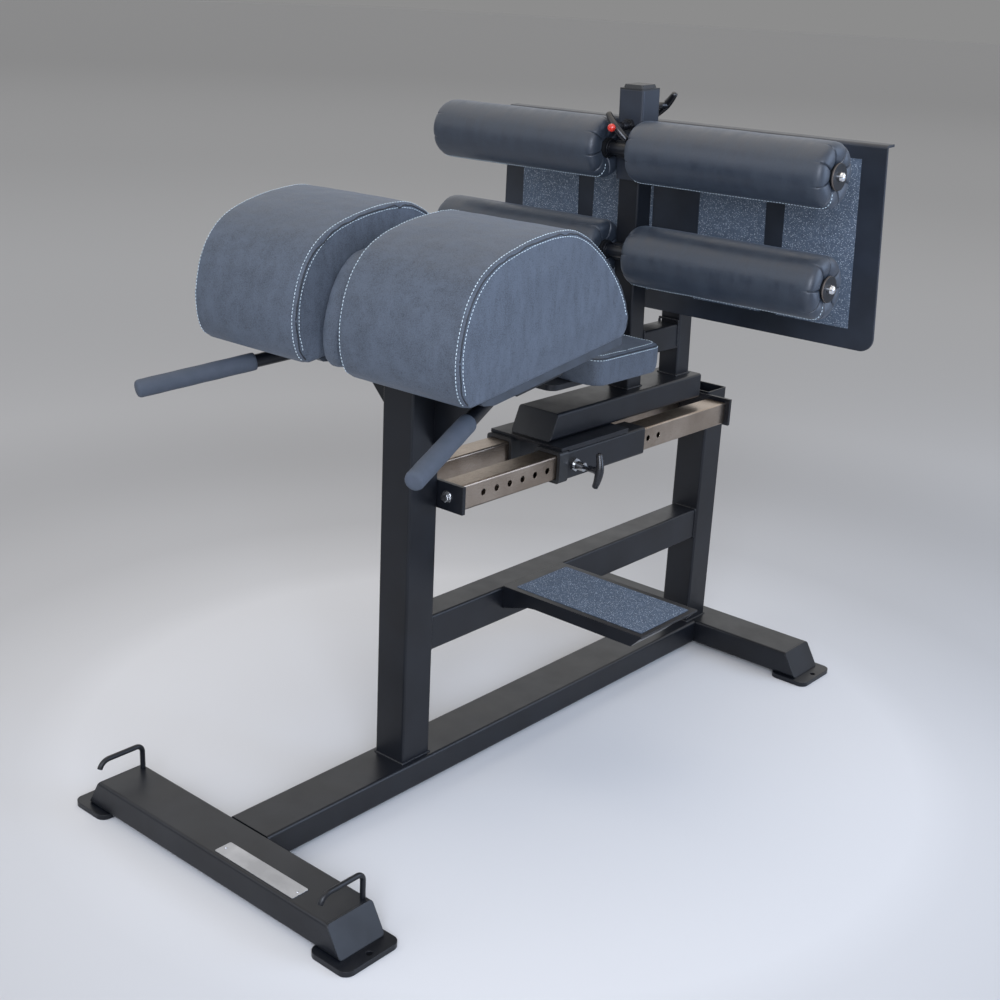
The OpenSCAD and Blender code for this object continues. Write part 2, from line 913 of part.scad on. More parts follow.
// boxed cushion, drawn in at its seams and crowned on top
module knee_pad() {
  hz = knee_thick / 2;
  hy = knee_length / 2;
  st = [[-1, 0.965], [-0.985, 0.99], [-0.93, 1], [-0.5, 1.01], [0, 1.014], [0.5, 1.01], [0.93, 1],
    [0.985, 0.99], [1, 0.965]];
  color("slategray")
    translate([0, knee_y + hy, knee_low + hz * 1.014])
      loft([for (k = st) pillow_ring(k[0] * knee_half, hy * k[1], hz * k[1], 12)]);
}

module roller_post() {
  color("dimgray")
    difference() {
      post_tube(inner_front + post_side / 2, inner_high);
      leaning()
        for (k = [-1 : 2]) {
          translate([0, 0, roller_pin_z + k * post_pitch])
            rod_y(pin_r + 0.4, inner_front - 1, inner_front + 10);
          translate([0, 0, rear_pin_z + k * post_pitch])
            rod_y(pin_r + 0.4, inner_front + post_side - 10, inner_front + post_side + 1);
        }
    }
}

rear_pin_z = roller_pin_z + 32;
link_low = 765;
link_high = 820;

module link_tube() {
  color("dimgray")
    intersection() {
      translate([0, 0, (link_low + link_high) / 2])
        tube_y(post_side, link_high - link_low, 4, 3, inner_front, post_front + post_side);
      leaning()
        block([-big, inner_front + post_side, -big], [big, post_front, big]);
    }
}

rear_post_high = 1122;

module rear_post() {
  color("dimgray") {
    post_tube(post_front + post_side / 2, rear_post_high);
    leaning()
      translate([0, post_front + post_side / 2, rear_post_high - 3])
        linear_extrude(height = 3)
          round_rect(post_side - 5, post_side - 5, 2);
  }
}

bend_r = 7;
corner_r = 28;
plate_top_half = plate_half - plate_taper;

// flat shape of the sheet below its bend: round lower corners, sides drawn in towards the top
module plate_shape() {
  polygon([[-plate_half, plate_low + corner_r], [plate_half, plate_low + corner_r],
    [plate_top_half, plate_high - bend_r], [-plate_top_half, plate_high - bend_r]]);
  translate([-plate_half + corner_r, plate_low])
    square([2 * (plate_half - corner_r), corner_r + 1]);
  for (x = [-plate_half + corner_r, plate_half - corner_r]) {
    translate([x, plate_low + corner_r])
      circle(r = corner_r);
  }
}

// sheet with a lip bent back along the top
module foot_plate() {
  color("dimgray")
    leaning() {
      translate([0, post_front, 0])
        rotate([90, 0, 0])
          linear_extrude(height = plate_thick)
            plate_shape();
      translate([-plate_top_half, 0, 0])
        rotate([90, 0, 90])
          linear_extrude(height = 2 * plate_top_half) {
            intersection() {
              translate([plate_front, plate_high - bend_r])
                square([bend_r, bend_r]);
              translate([plate_front + bend_r, plate_high - bend_r])
                difference() {
                  circle(r = bend_r);
                  circle(r = bend_r - plate_thick);
                }
            }
            translate([plate_front + bend_r, plate_high - plate_thick])
              square([plate_lip - bend_r, plate_thick]);
          }
    }
}

grip_low = 876;
grip_high = 1212;
grip_in = [60, 266];
grip_wide = 164;
grip_taper = 8;

module plate_grips() {
  color("black")
    leaning()
      both()
        for (x = grip_in) {
          translate([0, plate_front, 0])
            rotate([90, 0, 0])
              linear_extrude(height = 0.8)
                polygon([[x, grip_low], [x + grip_wide + 3, grip_low],
                  [x + grip_wide + 3 - grip_taper, grip_high], [x, grip_high]]);
        }
}

axle_half = roller_inner + roller_length + 4.2;
axle_r = axle_diameter / 2;
washer_r = 25;

// axle with its welded saddle, the two stop collars beside it and a washer near each end
module axle(y, z, back) {
  translate([0, y, z]) {
    rod_x(axle_r, -axle_half, axle_half);
    both()
      rod_x(washer_r, roller_inner + roller_length + 0.6, roller_inner + roller_length + 4);
    for (x = [-roller_inner + 0.6, roller_inner - 5]) {
      rod_x(18, x, x + 4.4);
    }
  }
  block([-22, y, z - 17], [22, back, z + 17]);
}

// dome nuts on the axle's ends
module nuts(y, z) {
  color("silver")
    both()
      translate([axle_half, y, z])
        rotate([0, 90, 0])
          rotate_extrude()
            polygon([[0, 0], [9, 0], [9, 3.4], [8.2, 6.6], [6.2, 9], [3.3, 10.3], [0, 10.6]]);
}

module lower_axle() {
  color("dimgray")
    leaning()
      axle(axle_low_y, lower_axle_z, inner_front);
}

module lower_nuts() {
  leaning()
    nuts(axle_low_y, lower_axle_z);
}

module roller_sleeve() {
  color("dimgray")
    leaning()
      difference() {
        translate([0, slider_front + slider_side / 2, 0])
          tube_z(slider_side, slider_side, 5, slider_wall, slider_low, slider_high);
        translate([0, 0, roller_pin_z])
          rod_y(pin_bore, slider_front - 1, slider_front + 10);
        translate([0, 0, rear_pin_z])
          rod_y(pin_bore, slider_front + slider_side - 10, slider_front + slider_side + 1);
      }
}

module sleeve_cap() {
  color("black")
    leaning()
      translate([0, slider_front + slider_side / 2, slider_high]) {
        linear_extrude(height = 3)
          round_rect(slider_side, slider_side, 5);
        translate([0, 0, 3])
          linear_extrude(height = 7, scale = 0.92)
            round_rect(slider_side - 10, slider_side - 10, 6);
      }
}

module upper_axle() {
  color("dimgray")
    leaning()
      axle(axle_up_y, upper_axle_z, slider_front);
}

module upper_nuts() {
  leaning()
    nuts(axle_up_y, upper_axle_z);
}

slider_back = slider_front + slider_side;

module roller_pin_housings() {
  color("silver")
    leaning() {
      translate([0, slider_front, roller_pin_z])
        rotate([90, 0, 0])
          pin_housing();
      translate([0, slider_back, rear_pin_z])
        rotate([-90, 0, 0])
          pin_housing();
    }
}

front_stem = 46;
rear_stem = 66;
tip_r = 8;
tee_r = 8;

module front_pin() {
  color("black")
    leaning()
      translate([0, 0, roller_pin_z]) {
        rod_y(pin_r, slider_front - front_stem, slider_front + slider_wall);
        translate([0, slider_front - front_stem, 0])
          rotate([0, 45, 0])
            tee_bar(tee_r);
      }
}

// round knob on the front of the T handle
module front_pin_tip() {
  color("red")
    leaning()
      translate([0, slider_front - front_stem - tee_r + 1.7, roller_pin_z])
        rotate([90, 0, 0])
          rotate_extrude()
            polygon([[0, 2], [5, 2], [tip_r - 1, 4], [tip_r, 7], [tip_r, 9.5], [tip_r - 1, 12.5],
              [5, 14.5], [2.5, 15.7], [0, 16]]);
}

module rear_pin() {
  color("black")
    leaning()
      translate([0, 0, rear_pin_z]) {
        rod_y(pin_r, slider_back - slider_wall, slider_back + rear_stem);
        translate([0, slider_back + rear_stem, 0])
          rotate([0, -45, 0])
            tee_bar(tee_r);
      }
}

// side is -1 for the left roller and 1 for the right one
module place_roller(side, y, z) {
  leaning()
    translate([side * roller_inner, y, z])
      rotate([0, side * 90, 0])
        children();
}

module roller_core() {
  color("black")
    difference() {
      cylinder(r = core_r, h = roller_length);
      translate([0, 0, -1])
        cylinder(r = axle_r + roller_gap, h = roller_length + 2);
    }
}

// stuffed cover, its ends gathered in towards the core
module roller_form() {
  r = roller_diameter / 2;
  l = roller_length;
  color("slategray")
    rotate_extrude($fn = 72)
      polygon([[core_r, 5], [core_r + 10, 3], [core_r + 20, 1], [r - 16, 0.5], [r - 9, 3], [r - 4, 8],
        [r - 1.4, 16], [r - 0.5, 30], [r, l * 0.3], [r, l * 0.7], [r - 0.5, l - 30], [r - 1.4, l - 16],
        [r - 4, l - 8], [r - 9, l - 3], [r - 16, l - 0.5], [core_r + 20, l - 1], [core_r + 10, l - 3],
        [core_r, l - 5]]);
}

module upper_core_left() {
  place_roller(-1, axle_up_y, upper_axle_z)
    roller_core();
}

module upper_core_right() {
  place_roller(1, axle_up_y, upper_axle_z)
    roller_core();
}

module lower_core_left() {
  place_roller(-1, axle_low_y, lower_axle_z)
    roller_core();
}

module lower_core_right() {
  place_roller(1, axle_low_y, lower_axle_z)
    roller_core();
}

module upper_roller_left() {
  place_roller(-1, axle_up_y, upper_axle_z)
    roller_form();
}

module upper_roller_right() {
  place_roller(1, axle_up_y, upper_axle_z)
    roller_form();
}

module lower_roller_left() {
  place_roller(-1, axle_low_y, lower_axle_z)
    roller_form();
}

module lower_roller_right() {
  place_roller(1, axle_low_y, lower_axle_z)
    roller_form();
}

base_beam();
front_cross_beam();
rear_cross_beam();
beam_ends();
foot_plates();
band_hooks();
name_plate();
name_plate_rivets();
front_upright();
rear_upright();
mid_crossbar();
step_tray();
step_grip();
rail_left();
rail_right();
rail_plates();
rail_bolts();
head_brackets();
handle_rods();
hand_grips();
pad_head();
pad_boards();
thigh_pad_left();
thigh_pad_right();
pad_bridge();
sleeve_left();
sleeve_right();
sleeve_liners();
sleeve_collars();
carriage_plate();
top_beam();
top_beam_ends();
rail_pin_housing();
rail_pin();
knee_block();
knee_pad();
roller_post();
link_tube();
rear_post();
foot_plate();
plate_grips();
lower_axle();
lower_nuts();
roller_sleeve();
sleeve_cap();
upper_axle();
upper_nuts();
roller_pin_housings();
front_pin();
front_pin_tip();
rear_pin();
upper_core_left();
upper_core_right();
lower_core_left();
lower_core_right();
upper_roller_left();
upper_roller_right();
lower_roller_left();
lower_roller_right();
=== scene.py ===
import json
import math
import random

import bpy
from mathutils import Matrix, Vector, noise
from mathutils.bvhtree import BVHTree


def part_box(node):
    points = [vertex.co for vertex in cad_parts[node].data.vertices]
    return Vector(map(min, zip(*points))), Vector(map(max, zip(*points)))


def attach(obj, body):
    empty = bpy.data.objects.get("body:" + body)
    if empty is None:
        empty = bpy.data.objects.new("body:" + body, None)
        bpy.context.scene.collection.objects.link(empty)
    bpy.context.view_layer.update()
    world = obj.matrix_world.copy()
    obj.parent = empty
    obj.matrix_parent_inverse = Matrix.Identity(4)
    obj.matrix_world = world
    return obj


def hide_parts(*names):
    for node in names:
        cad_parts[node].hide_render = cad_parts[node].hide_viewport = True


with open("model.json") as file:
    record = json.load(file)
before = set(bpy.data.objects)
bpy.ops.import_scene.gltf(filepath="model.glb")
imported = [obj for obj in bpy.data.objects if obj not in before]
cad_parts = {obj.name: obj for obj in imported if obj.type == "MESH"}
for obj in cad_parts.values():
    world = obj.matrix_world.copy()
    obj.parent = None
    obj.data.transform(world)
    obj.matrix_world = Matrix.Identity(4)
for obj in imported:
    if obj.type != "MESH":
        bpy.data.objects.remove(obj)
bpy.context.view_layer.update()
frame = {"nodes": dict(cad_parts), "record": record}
nodes = frame["nodes"]
scene = bpy.context.scene
print("frame loaded:", len(nodes), "nodes")

# the front end of the base lies here along Y
frontY = -0.781


def at(x, y, z):
    return Vector((x / 1000, frontY + y / 1000, z / 1000))


def linear(code):
    parts = [int(code[i:i + 2], 16) / 255 for i in (1, 3, 5)]
    return tuple(c / 12.92 if c <= 0.04045 else ((c + 0.055) / 1.055) ** 2.4 for c in parts) + (1.0,)


# materials

def addNode(tree, kind, settings=None, links=None):
    made = tree.nodes.new(kind)
    for key, value in (settings or {}).items():
        if isinstance(key, str) and key[0].islower():
            setattr(made, key, value)
        else:
            made.inputs[key].default_value = value
    for key, source in (links or {}).items():
        tree.links.new(source, made.inputs[key])
    return made


def startMaterial(name):
    made = bpy.data.materials.new(name)
    made.use_nodes = True
    tree = made.node_tree
    shader = tree.nodes["Principled BSDF"]
    coords = addNode(tree, "ShaderNodeTexCoord").outputs["Object"]
    return made, tree, shader, coords


def stretched(tree, coords, scale):
    return addNode(tree, "ShaderNodeMapping", {"Scale": scale}, {"Vector": coords}).outputs[0]


def noiseOf(tree, coords, millimetres, detail, roughness=0.5):
    return addNode(tree, "ShaderNodeTexNoise",
                   {"Scale": 1000 / millimetres, "Detail": detail, "Roughness": roughness},
                   {"Vector": coords}).outputs["Fac"]


def ranged(tree, value, low, high, toLow, toHigh):
    limits = {1: low, 2: high, 3: toLow, 4: toHigh}
    return addNode(tree, "ShaderNodeMapRange", limits, {0: value}).outputs[0]


def mixed(tree, factor, first, second):
    made = addNode(tree, "ShaderNodeMix", {"data_type": "RGBA"})
    for slot, source in ((0, factor), (6, first), (7, second)):
        if hasattr(source, "is_output"):
            tree.links.new(source, made.inputs[slot])
        else:
            made.inputs[slot].default_value = source
    return made.outputs[2]


def bumped(tree, height, depth, normal=None):
    settings = {"Strength": 1.0, "Distance": depth / 1000}
    made = addNode(tree, "ShaderNodeBump", settings, {"Height": height})
    if normal is not None:
        tree.links.new(normal, made.inputs["Normal"])
    return made.outputs[0]


def softEdges(tree, millimetres):
    return addNode(tree, "ShaderNodeBevel", {"samples": 4, "Radius": millimetres / 1000}).outputs[0]


# satin black powder coat on welded steel: fine orange peel, a little dust on the colour, softened edges
def powderCoat(name, s):
    made, tree, shader, coords = startMaterial(name)
    tone = ranged(tree, noiseOf(tree, coords, s["patch"], 3), 0.35, 0.65, 0, 1)
    tree.links.new(mixed(tree, tone, linear(s["dark"]), linear(s["light"])), shader.inputs["Base Color"])
    cloud = noiseOf(tree, coords, s["patch"] * 0.6, 4, 0.6)
    tree.links.new(ranged(tree, cloud, 0.3, 0.7, *s["gloss"]), shader.inputs["Roughness"])
    peel = bumped(tree, noiseOf(tree, coords, s["peel"], 2), s["depth"], softEdges(tree, s["edge"]))
    tree.links.new(peel, shader.inputs["Normal"])
    shader.inputs["Specular IOR Level"].default_value = s["specular"]
    return made


# brushed steel or aluminium: long fine scratches along one axis
def brushedMetal(name, s):
    made, tree, shader, coords = startMaterial(name)
    lines = noiseOf(tree, stretched(tree, coords, s["stretch"]), s["line"], 3, 0.6)
    cloud = noiseOf(tree, coords, s["patch"], 3)
    tone = ranged(tree, cloud, 0.35, 0.65, 0, 1)
    tree.links.new(mixed(tree, tone, linear(s["dark"]), linear(s["light"])), shader.inputs["Base Color"])
    tree.links.new(ranged(tree, lines, 0.3, 0.7, *s["gloss"]), shader.inputs["Roughness"])
    tree.links.new(bumped(tree, lines, s["depth"], softEdges(tree, s["edge"])), shader.inputs["Normal"])
    shader.inputs["Metallic"].default_value = 1.0
    return made


# grained upholstery vinyl: small rounded pebbles, streaks and soft creases along the pull of the cover
def vinyl(name, s):
    made, tree, shader, coords = startMaterial(name)
    strokes = stretched(tree, coords, s["pull"])
    tone = ranged(tree, noiseOf(tree, strokes, s["patch"], 5, 0.7), 0.36, 0.64, 0, 1)
    colour = mixed(tree, tone, linear(s["dark"]), linear(s["light"]))
    pebble = addNode(tree, "ShaderNodeTexVoronoi", {"feature": "SMOOTH_F1", "Scale": 1000 / s["grain"]},
                     {"Vector": coords}).outputs["Distance"]
    speck = ranged(tree, pebble, 0.1, 0.8, 1, 0)
    colour = mixed(tree, ranged(tree, speck, 0, 1, 0.0, s["speckle"]), colour, linear(s["fleck"]))
    tree.links.new(colour, shader.inputs["Base Color"])
    tree.links.new(ranged(tree, tone, 0, 1, *s["gloss"]), shader.inputs["Roughness"])
    creases = noiseOf(tree, strokes, s["crease"], 3, 0.55)
    normal = bumped(tree, creases, s["creaseDepth"])
    normal = bumped(tree, pebble, -s["grainDepth"], normal)
    tree.links.new(normal, shader.inputs["Normal"])
    shader.inputs["Specular IOR Level"].default_value = s["specular"]
    shader.inputs["Sheen Weight"].default_value = s["sheen"]
    shader.inputs["Sheen Roughness"].default_value = 0.45
    shader.inputs["Sheen Tint"].default_value = linear(s["sheenTint"])
    return made


# gritty anti-slip tape: dark binder with near-white grains, their colour partly the grains' own and
# partly painted glint
def grit(name, s):
    made, tree, shader, coords = startMaterial(name)
    grains = addNode(tree, "ShaderNodeTexVoronoi", {"Scale": 1000 / s["grain"]}, {"Vector": coords})
    pick = addNode(tree, "ShaderNodeSeparateColor", {}, {0: grains.outputs["Color"]}).outputs[0]
    bright = ranged(tree, pick, s["share"], 1, 0, 1)
    centre = ranged(tree, grains.outputs["Distance"], 0.22, 0.42, 1, 0)
    shine = addNode(tree, "ShaderNodeMath", {"operation": "MULTIPLY"}, {0: bright, 1: centre}).outputs[0]
    patch = ranged(tree, noiseOf(tree, coords, s["patch"], 4, 0.65), 0.3, 0.7, 0, 1)
    ground = mixed(tree, patch, linear(s["dark"]), linear(s["light"]))
    # the grains are painted near white: partly their own pale colour, partly painted glint
    tree.links.new(mixed(tree, shine, ground, linear(s["paleGrainGlint"])), shader.inputs["Base Color"])
    tree.links.new(ranged(tree, shine, 0, 1, 0.8, 0.35), shader.inputs["Roughness"])
    tree.links.new(bumped(tree, grains.outputs["Distance"], s["depth"]), shader.inputs["Normal"])
    return made


# plastic, rubber foam, thread and plated parts: a colour with slight patches and a fine surface
def plain(name, s):
    made, tree, shader, coords = startMaterial(name)
    tone = ranged(tree, noiseOf(tree, coords, s["patch"], 3), 0.35, 0.65, 0, 1)
    tree.links.new(mixed(tree, tone, linear(s["dark"]), linear(s["light"])), shader.inputs["Base Color"])
    fine = noiseOf(tree, coords, s["fine"], 3, 0.6)
    tree.links.new(ranged(tree, fine, 0.3, 0.7, *s["gloss"]), shader.inputs["Roughness"])
    tree.links.new(bumped(tree, fine, s["depth"]), shader.inputs["Normal"])
    shader.inputs["Metallic"].default_value = s.get("metal", 0.0)
    shader.inputs["Coat Weight"].default_value = s.get("coat", 0.0)
    return made


coat = powderCoat("powder_coat_satin_black", {
    "dark": "#0d0f14", "light": "#13161c", "patch": 90, "peel": 1.1, "depth": 0.02, "edge": 2.4,
    "gloss": (0.3, 0.4), "specular": 0.36})
# a lighter, bluer copy of the satin black coat: painted light, for the cool light the foot plate and
# roller sleeve catch
litCoat = powderCoat("powder_coat_satin_black_painted_light", {
    "dark": "#20252d", "light": "#2a303a", "patch": 90, "peel": 1.1, "depth": 0.02, "edge": 2.4,
    "gloss": (0.34, 0.44), "specular": 0.45})
castBlack = powderCoat("painted_gloss_black", {
    "dark": "#141518", "light": "#1c1d22", "patch": 30, "peel": 0.8, "depth": 0.01, "edge": 0.8,
    "gloss": (0.22, 0.32), "specular": 0.55})
# the warm brown tint of this steel is a painted warm reflection
railSteel = brushedMetal("stainless_steel_brushed_warm_reflection", {
    "dark": "#8e8072", "light": "#aa9c8e", "patch": 130, "line": 0.5, "stretch": (1, 0.02, 1),
    "depth": 0.012, "edge": 1.4, "gloss": (0.24, 0.4)})
plateAluminium = brushedMetal("aluminium_brushed_bare", {
    "dark": "#a3a4a8", "light": "#bcbdc1", "patch": 60, "line": 0.35, "stretch": (0.03, 1, 1),
    "depth": 0.008, "edge": 0.6, "gloss": (0.28, 0.42)})
chrome = plain("steel_chrome_plated", {
    "dark": "#d2d3d6", "light": "#dfe0e3", "patch": 20, "fine": 1.5, "depth": 0.002,
    "gloss": (0.06, 0.12), "metal": 1.0})
zinc = plain("steel_zinc_plated", {
    "dark": "#a7a8a8", "light": "#c3c4c6", "patch": 9, "fine": 0.9, "depth": 0.006, "gloss": (0.18, 0.32),
    "metal": 1.0})
padVinyl = vinyl("vinyl_grained_slate", {
    "dark": "#3f444c", "light": "#515863", "fleck": "#656e7a", "speckle": 0.6, "patch": 16, "grain": 1.7,
    "grainDepth": 0.09, "crease": 24, "creaseDepth": 0.5, "pull": (0.5, 1, 0.35), "gloss": (0.42, 0.54),
    "specular": 0.16, "sheen": 0.1, "sheenTint": "#9fb4cf"})
rollerVinyl = vinyl("leather_smooth_black", {
    "dark": "#262c36", "light": "#2e3640", "fleck": "#3e4753", "speckle": 0.35, "patch": 22, "grain": 1.2,
    "grainDepth": 0.05, "crease": 14, "creaseDepth": 0.4, "pull": (1, 0.4, 0.4), "gloss": (0.36, 0.5),
    "specular": 0.55, "sheen": 0.12, "sheenTint": "#9fb4cf"})
gripTape = grit("anti_slip_tape_gritty", {
    "dark": "#475464", "light": "#556375", "paleGrainGlint": "#dbe6f0", "patch": 14, "grain": 2.2, "share": 0.35,
    "depth": 0.2})
foamGrip = plain("rubber_foam_matte", {
    "dark": "#434b56", "light": "#484f5b", "patch": 25, "fine": 0.9, "depth": 0.08, "gloss": (0.7, 0.85)})
blackPlastic = plain("nylon_black_matte", {
    "dark": "#17181a", "light": "#1e2023", "patch": 30, "fine": 0.7, "depth": 0.02, "gloss": (0.4, 0.52)})
redPlastic = plain("plastic_gloss_red", {
    "dark": "#c8281c", "light": "#d63322", "patch": 10, "fine": 1.2, "depth": 0.004, "gloss": (0.12, 0.2),
    "coat": 0.4})
boardPaint = plain("vinyl_wrapped_board", {
    "dark": "#2b3139", "light": "#343b45", "patch": 35, "fine": 1.4, "depth": 0.05,
    "gloss": (0.42, 0.55)})
thread = plain("thread_pale_twisted", {
    "dark": "#b9cdd6", "light": "#d6e4ea", "patch": 6, "fine": 0.4, "depth": 0.05, "gloss": (0.5, 0.65)})
# dark vinyl for tubes laid along seams and down the roller slits: painted shade
seamShade = plain("vinyl_painted_seam_shade", {
    "dark": "#1c2128", "light": "#242a32", "patch": 8, "fine": 0.6, "depth": 0.02, "gloss": (0.5, 0.6)})
washerSteel = plain("steel_oiled_dull", {
    "dark": "#6b635d", "light": "#7b726b", "patch": 15, "fine": 0.8, "depth": 0.01, "gloss": (0.4, 0.55),
    "metal": 0.15})

slotMaterial = {
    "frame_coat": coat, "rail_steel": railSteel, "pad_vinyl": padVinyl, "roller_leather": rollerVinyl,
    "grip_sheet": gripTape, "hand_rubber": foamGrip, "bare_aluminium": plateAluminium,
    "plated_steel": zinc, "chrome": chrome, "black_plastic": blackPlastic, "black_metal": castBlack,
    "red_plastic": redPlastic, "pad_board": boardPaint}
for part in frame["record"]["subparts"]:
    body = nodes[part["node"]]
    if not body.material_slots:
        body.data.materials.append(None)
    for slot in body.material_slots:
        slot.material = slotMaterial[part["material_slot"]]
nodes["roller_pin_housings"].material_slots[0].material = castBlack
# the foot plate and roller sleeve take the copy of the coat painted lighter for their light
for name in ("foot_plate", "roller_sleeve"):
    nodes[name].material_slots[0].material = litCoat
print("materials ready")


# mesh helpers

def makePiece(name, verts, faces, material, smooth=True):
    mesh = bpy.data.meshes.new(name)
    mesh.from_pydata([tuple(v) for v in verts], [], faces)
    mesh.materials.append(material)
    mesh.polygons.foreach_set("use_smooth", [smooth] * len(mesh.polygons))
    mesh.update()
    made = bpy.data.objects.new(name, mesh)
    scene.collection.objects.link(made)
    return made


def applyAll(piece):
    bpy.context.view_layer.update()
    done = bpy.data.meshes.new_from_object(piece.evaluated_get(bpy.context.evaluated_depsgraph_get()))
    piece.modifiers.clear()
    old = piece.data
    piece.data = done
    bpy.data.meshes.remove(old)
    piece.data.polygons.foreach_set("use_smooth", [True] * len(piece.data.polygons))


def addModifier(piece, kind, **settings):
    made = piece.modifiers.new(kind, kind)
    for key, value in settings.items():
        setattr(made, key, value)
    return made


# rings of points joined into one skin, closed at the ends with a middle point
def skin(rings, closed=True):
    count = len(rings[0])
    verts = [v for ring in rings for v in ring]
    faces = []
    for j in range(len(rings) - 1):
        for i in range(count):
            k = (i + 1) % count
            faces.append((j * count + i, j * count + k, (j + 1) * count + k, (j + 1) * count + i))
    if closed:
        for base, ring, turn in ((0, rings[0], -1), ((len(rings) - 1) * count, rings[-1], 1)):
            middle = sum((Vector(v) for v in ring), Vector()) / count
            verts.append(middle)
            for i in range(count):
                k = (i + 1) % count
                pair = (base + i, base + k) if turn > 0 else (base + k, base + i)
                faces.append((pair[0], pair[1], len(verts) - 1))
    return verts, faces


# turned form: (along, radius) pairs about an axis from a point
def lathe(origin, axis, profile, count=48):
    axis = Vector(axis).normalized()
    side = axis.orthogonal().normalized()
    other = axis.cross(side)
    rings = []
    for along, radius in profile:
        ring = []
        for i in range(count):
            a = 2 * math.pi * i / count
            spoke = side * math.cos(a) + other * math.sin(a)
            ring.append(Vector(origin) + axis * along + spoke * radius)
        rings.append(ring)
    return skin(rings)


def joined(name, parts, material, smooth=True):
    verts, faces = [], []
    for v, f in parts:
        base = len(verts)
        verts += v
        faces += [tuple(i + base for i in face) for face in f]
    return makePiece(name, verts, faces, material, smooth)


# the thigh pads' own frame: x across, y along the underside from the front, z up from it
padTurn = Matrix.Translation(at(0, 268, 872)) @ Matrix.Rotation(math.radians(8.6), 4, "X")

# what stands on the sliding beam leans by this angle about the foot of the roller post
leanFoot = at(0, 1132, 701)
leanTurn = (Matrix.Translation(leanFoot) @ Matrix.Rotation(math.radians(2.5), 4, "X")
            @ Matrix.Translation(-leanFoot))


def leaning(x, y, z):
    return leanTurn @ at(x, y, z)


def turned(direction):
    return leanTurn.to_3x3() @ Vector(direction)


def surfaceOf(piece):
    points = [vertex.co.copy() for vertex in piece.data.vertices]
    return BVHTree.FromPolygons(points, [tuple(face.vertices) for face in piece.data.polygons])


# a round bar of changing radius along a path
def sweep(path, radii, count, up=Vector((0, 0, 1))):
    rings = []
    for k, point in enumerate(path):
        along = (path[min(k + 1, len(path) - 1)] - path[max(k - 1, 0)]).normalized()
        side = along.cross(up)
        side = side.normalized() if side.length > 1e-6 else along.orthogonal().normalized()
        other = side.cross(along)
        rings.append([point + (side * math.cos(a) + other * math.sin(a)) * radii[k]
                      for a in (2 * math.pi * i / count for i in range(count))])
    return skin(rings)


def finishPiece(piece, body, source=None):
    if source:
        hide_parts(source)
    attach(piece, body)


# stitching

# points at equal steps along a line of (place, outward) pairs
def walked(line, distances):
    spans = [0.0]
    for (a, _), (b, _) in zip(line, line[1:]):
        spans.append(spans[-1] + (b - a).length)
    found, k = [], 1
    for distance in distances(spans[-1]):
        while k < len(spans) - 1 and spans[k] < distance:
            k += 1
        while k > 1 and spans[k - 1] > distance:
            k -= 1
        share = (distance - spans[k - 1]) / max(spans[k] - spans[k - 1], 1e-9)
        (a, outA), (b, outB) = line[k - 1], line[k]
        found.append((a.lerp(b, share), outA.lerp(outB, share).normalized()))
    return found


# short arched threads, their ends sunk into the cover: (along, height, thickness) of each point
def stitchRow(line, s):
    pitch, half, radius = s["pitch"] / 1000, s["length"] / 2000, s["radius"] / 1000
    shape = ((-1, -0.8, 0.55), (-0.75, 0.15, 0.9), (0, 0.5, 1), (0.75, 0.15, 0.9), (1, -0.8, 0.55))

    def distances(total):
        for n in range(int(total / pitch)):
            for t, rise, width in shape:
                yield (n + 0.5) * pitch + t * half

    parts = []
    spots = walked(line, distances)
    for n in range(0, len(spots), len(shape)):
        group = spots[n:n + len(shape)]
        path = [place + outward * shape[k][1] * radius for k, (place, outward) in enumerate(group)]
        parts.append(sweep(path, [part[2] * radius for part in shape], 6, group[2][1]))
    return parts


# a thin dark tube of painted shade where two panels of a cover meet, or along a fold
def seamShadeTube(line, s):
    def distances(total):
        count = int(total * 1000 / s["step"])
        for n in range(count + 1):
            yield total * n / count

    spots = walked(line, distances)
    path = [place - outward * s["sink"] / 1000 for place, outward in spots]
    return [sweep(path, [s["radius"] / 1000] * len(path), 8)]


stitchStyle = {"pitch": 6.4, "length": 4.0, "radius": 0.72}
seamShadeStyle = {"radius": 1.4, "sink": 0.3, "step": 6.0}


def sewSeams(name, rows, shadeLines, body):
    parts = [part for row in rows for part in stitchRow(row, stitchStyle)]
    finishPiece(joined(name + "_stitches", parts, thread), body)
    if shadeLines:
        parts = [part for shadeLine in shadeLines for part in seamShadeTube(shadeLine, seamShadeStyle)]
        finishPiece(joined(name + "_painted_shade", parts, seamShade), body)


# sewn cushions

def gridded(piece, s):
    piece.data.materials.clear()
    piece.data.materials.append(padVinyl)
    mesh = piece.data
    moves = [v.normal * (-s["shrink"] / 1000) for v in mesh.vertices]
    for vertex, move in zip(mesh.vertices, moves):
        vertex.co += move
    mesh.transform(s["frame"].inverted())
    addModifier(piece, "REMESH", mode="VOXEL", voxel_size=s["voxel"] / 1000)
    addModifier(piece, "SMOOTH", factor=0.5, iterations=s["soften"])
    applyAll(piece)
    piece.data.transform(s["frame"])


def copied(name, source):
    piece = bpy.data.objects.new(name, nodes[source].data.copy())
    scene.collection.objects.link(piece)
    return piece


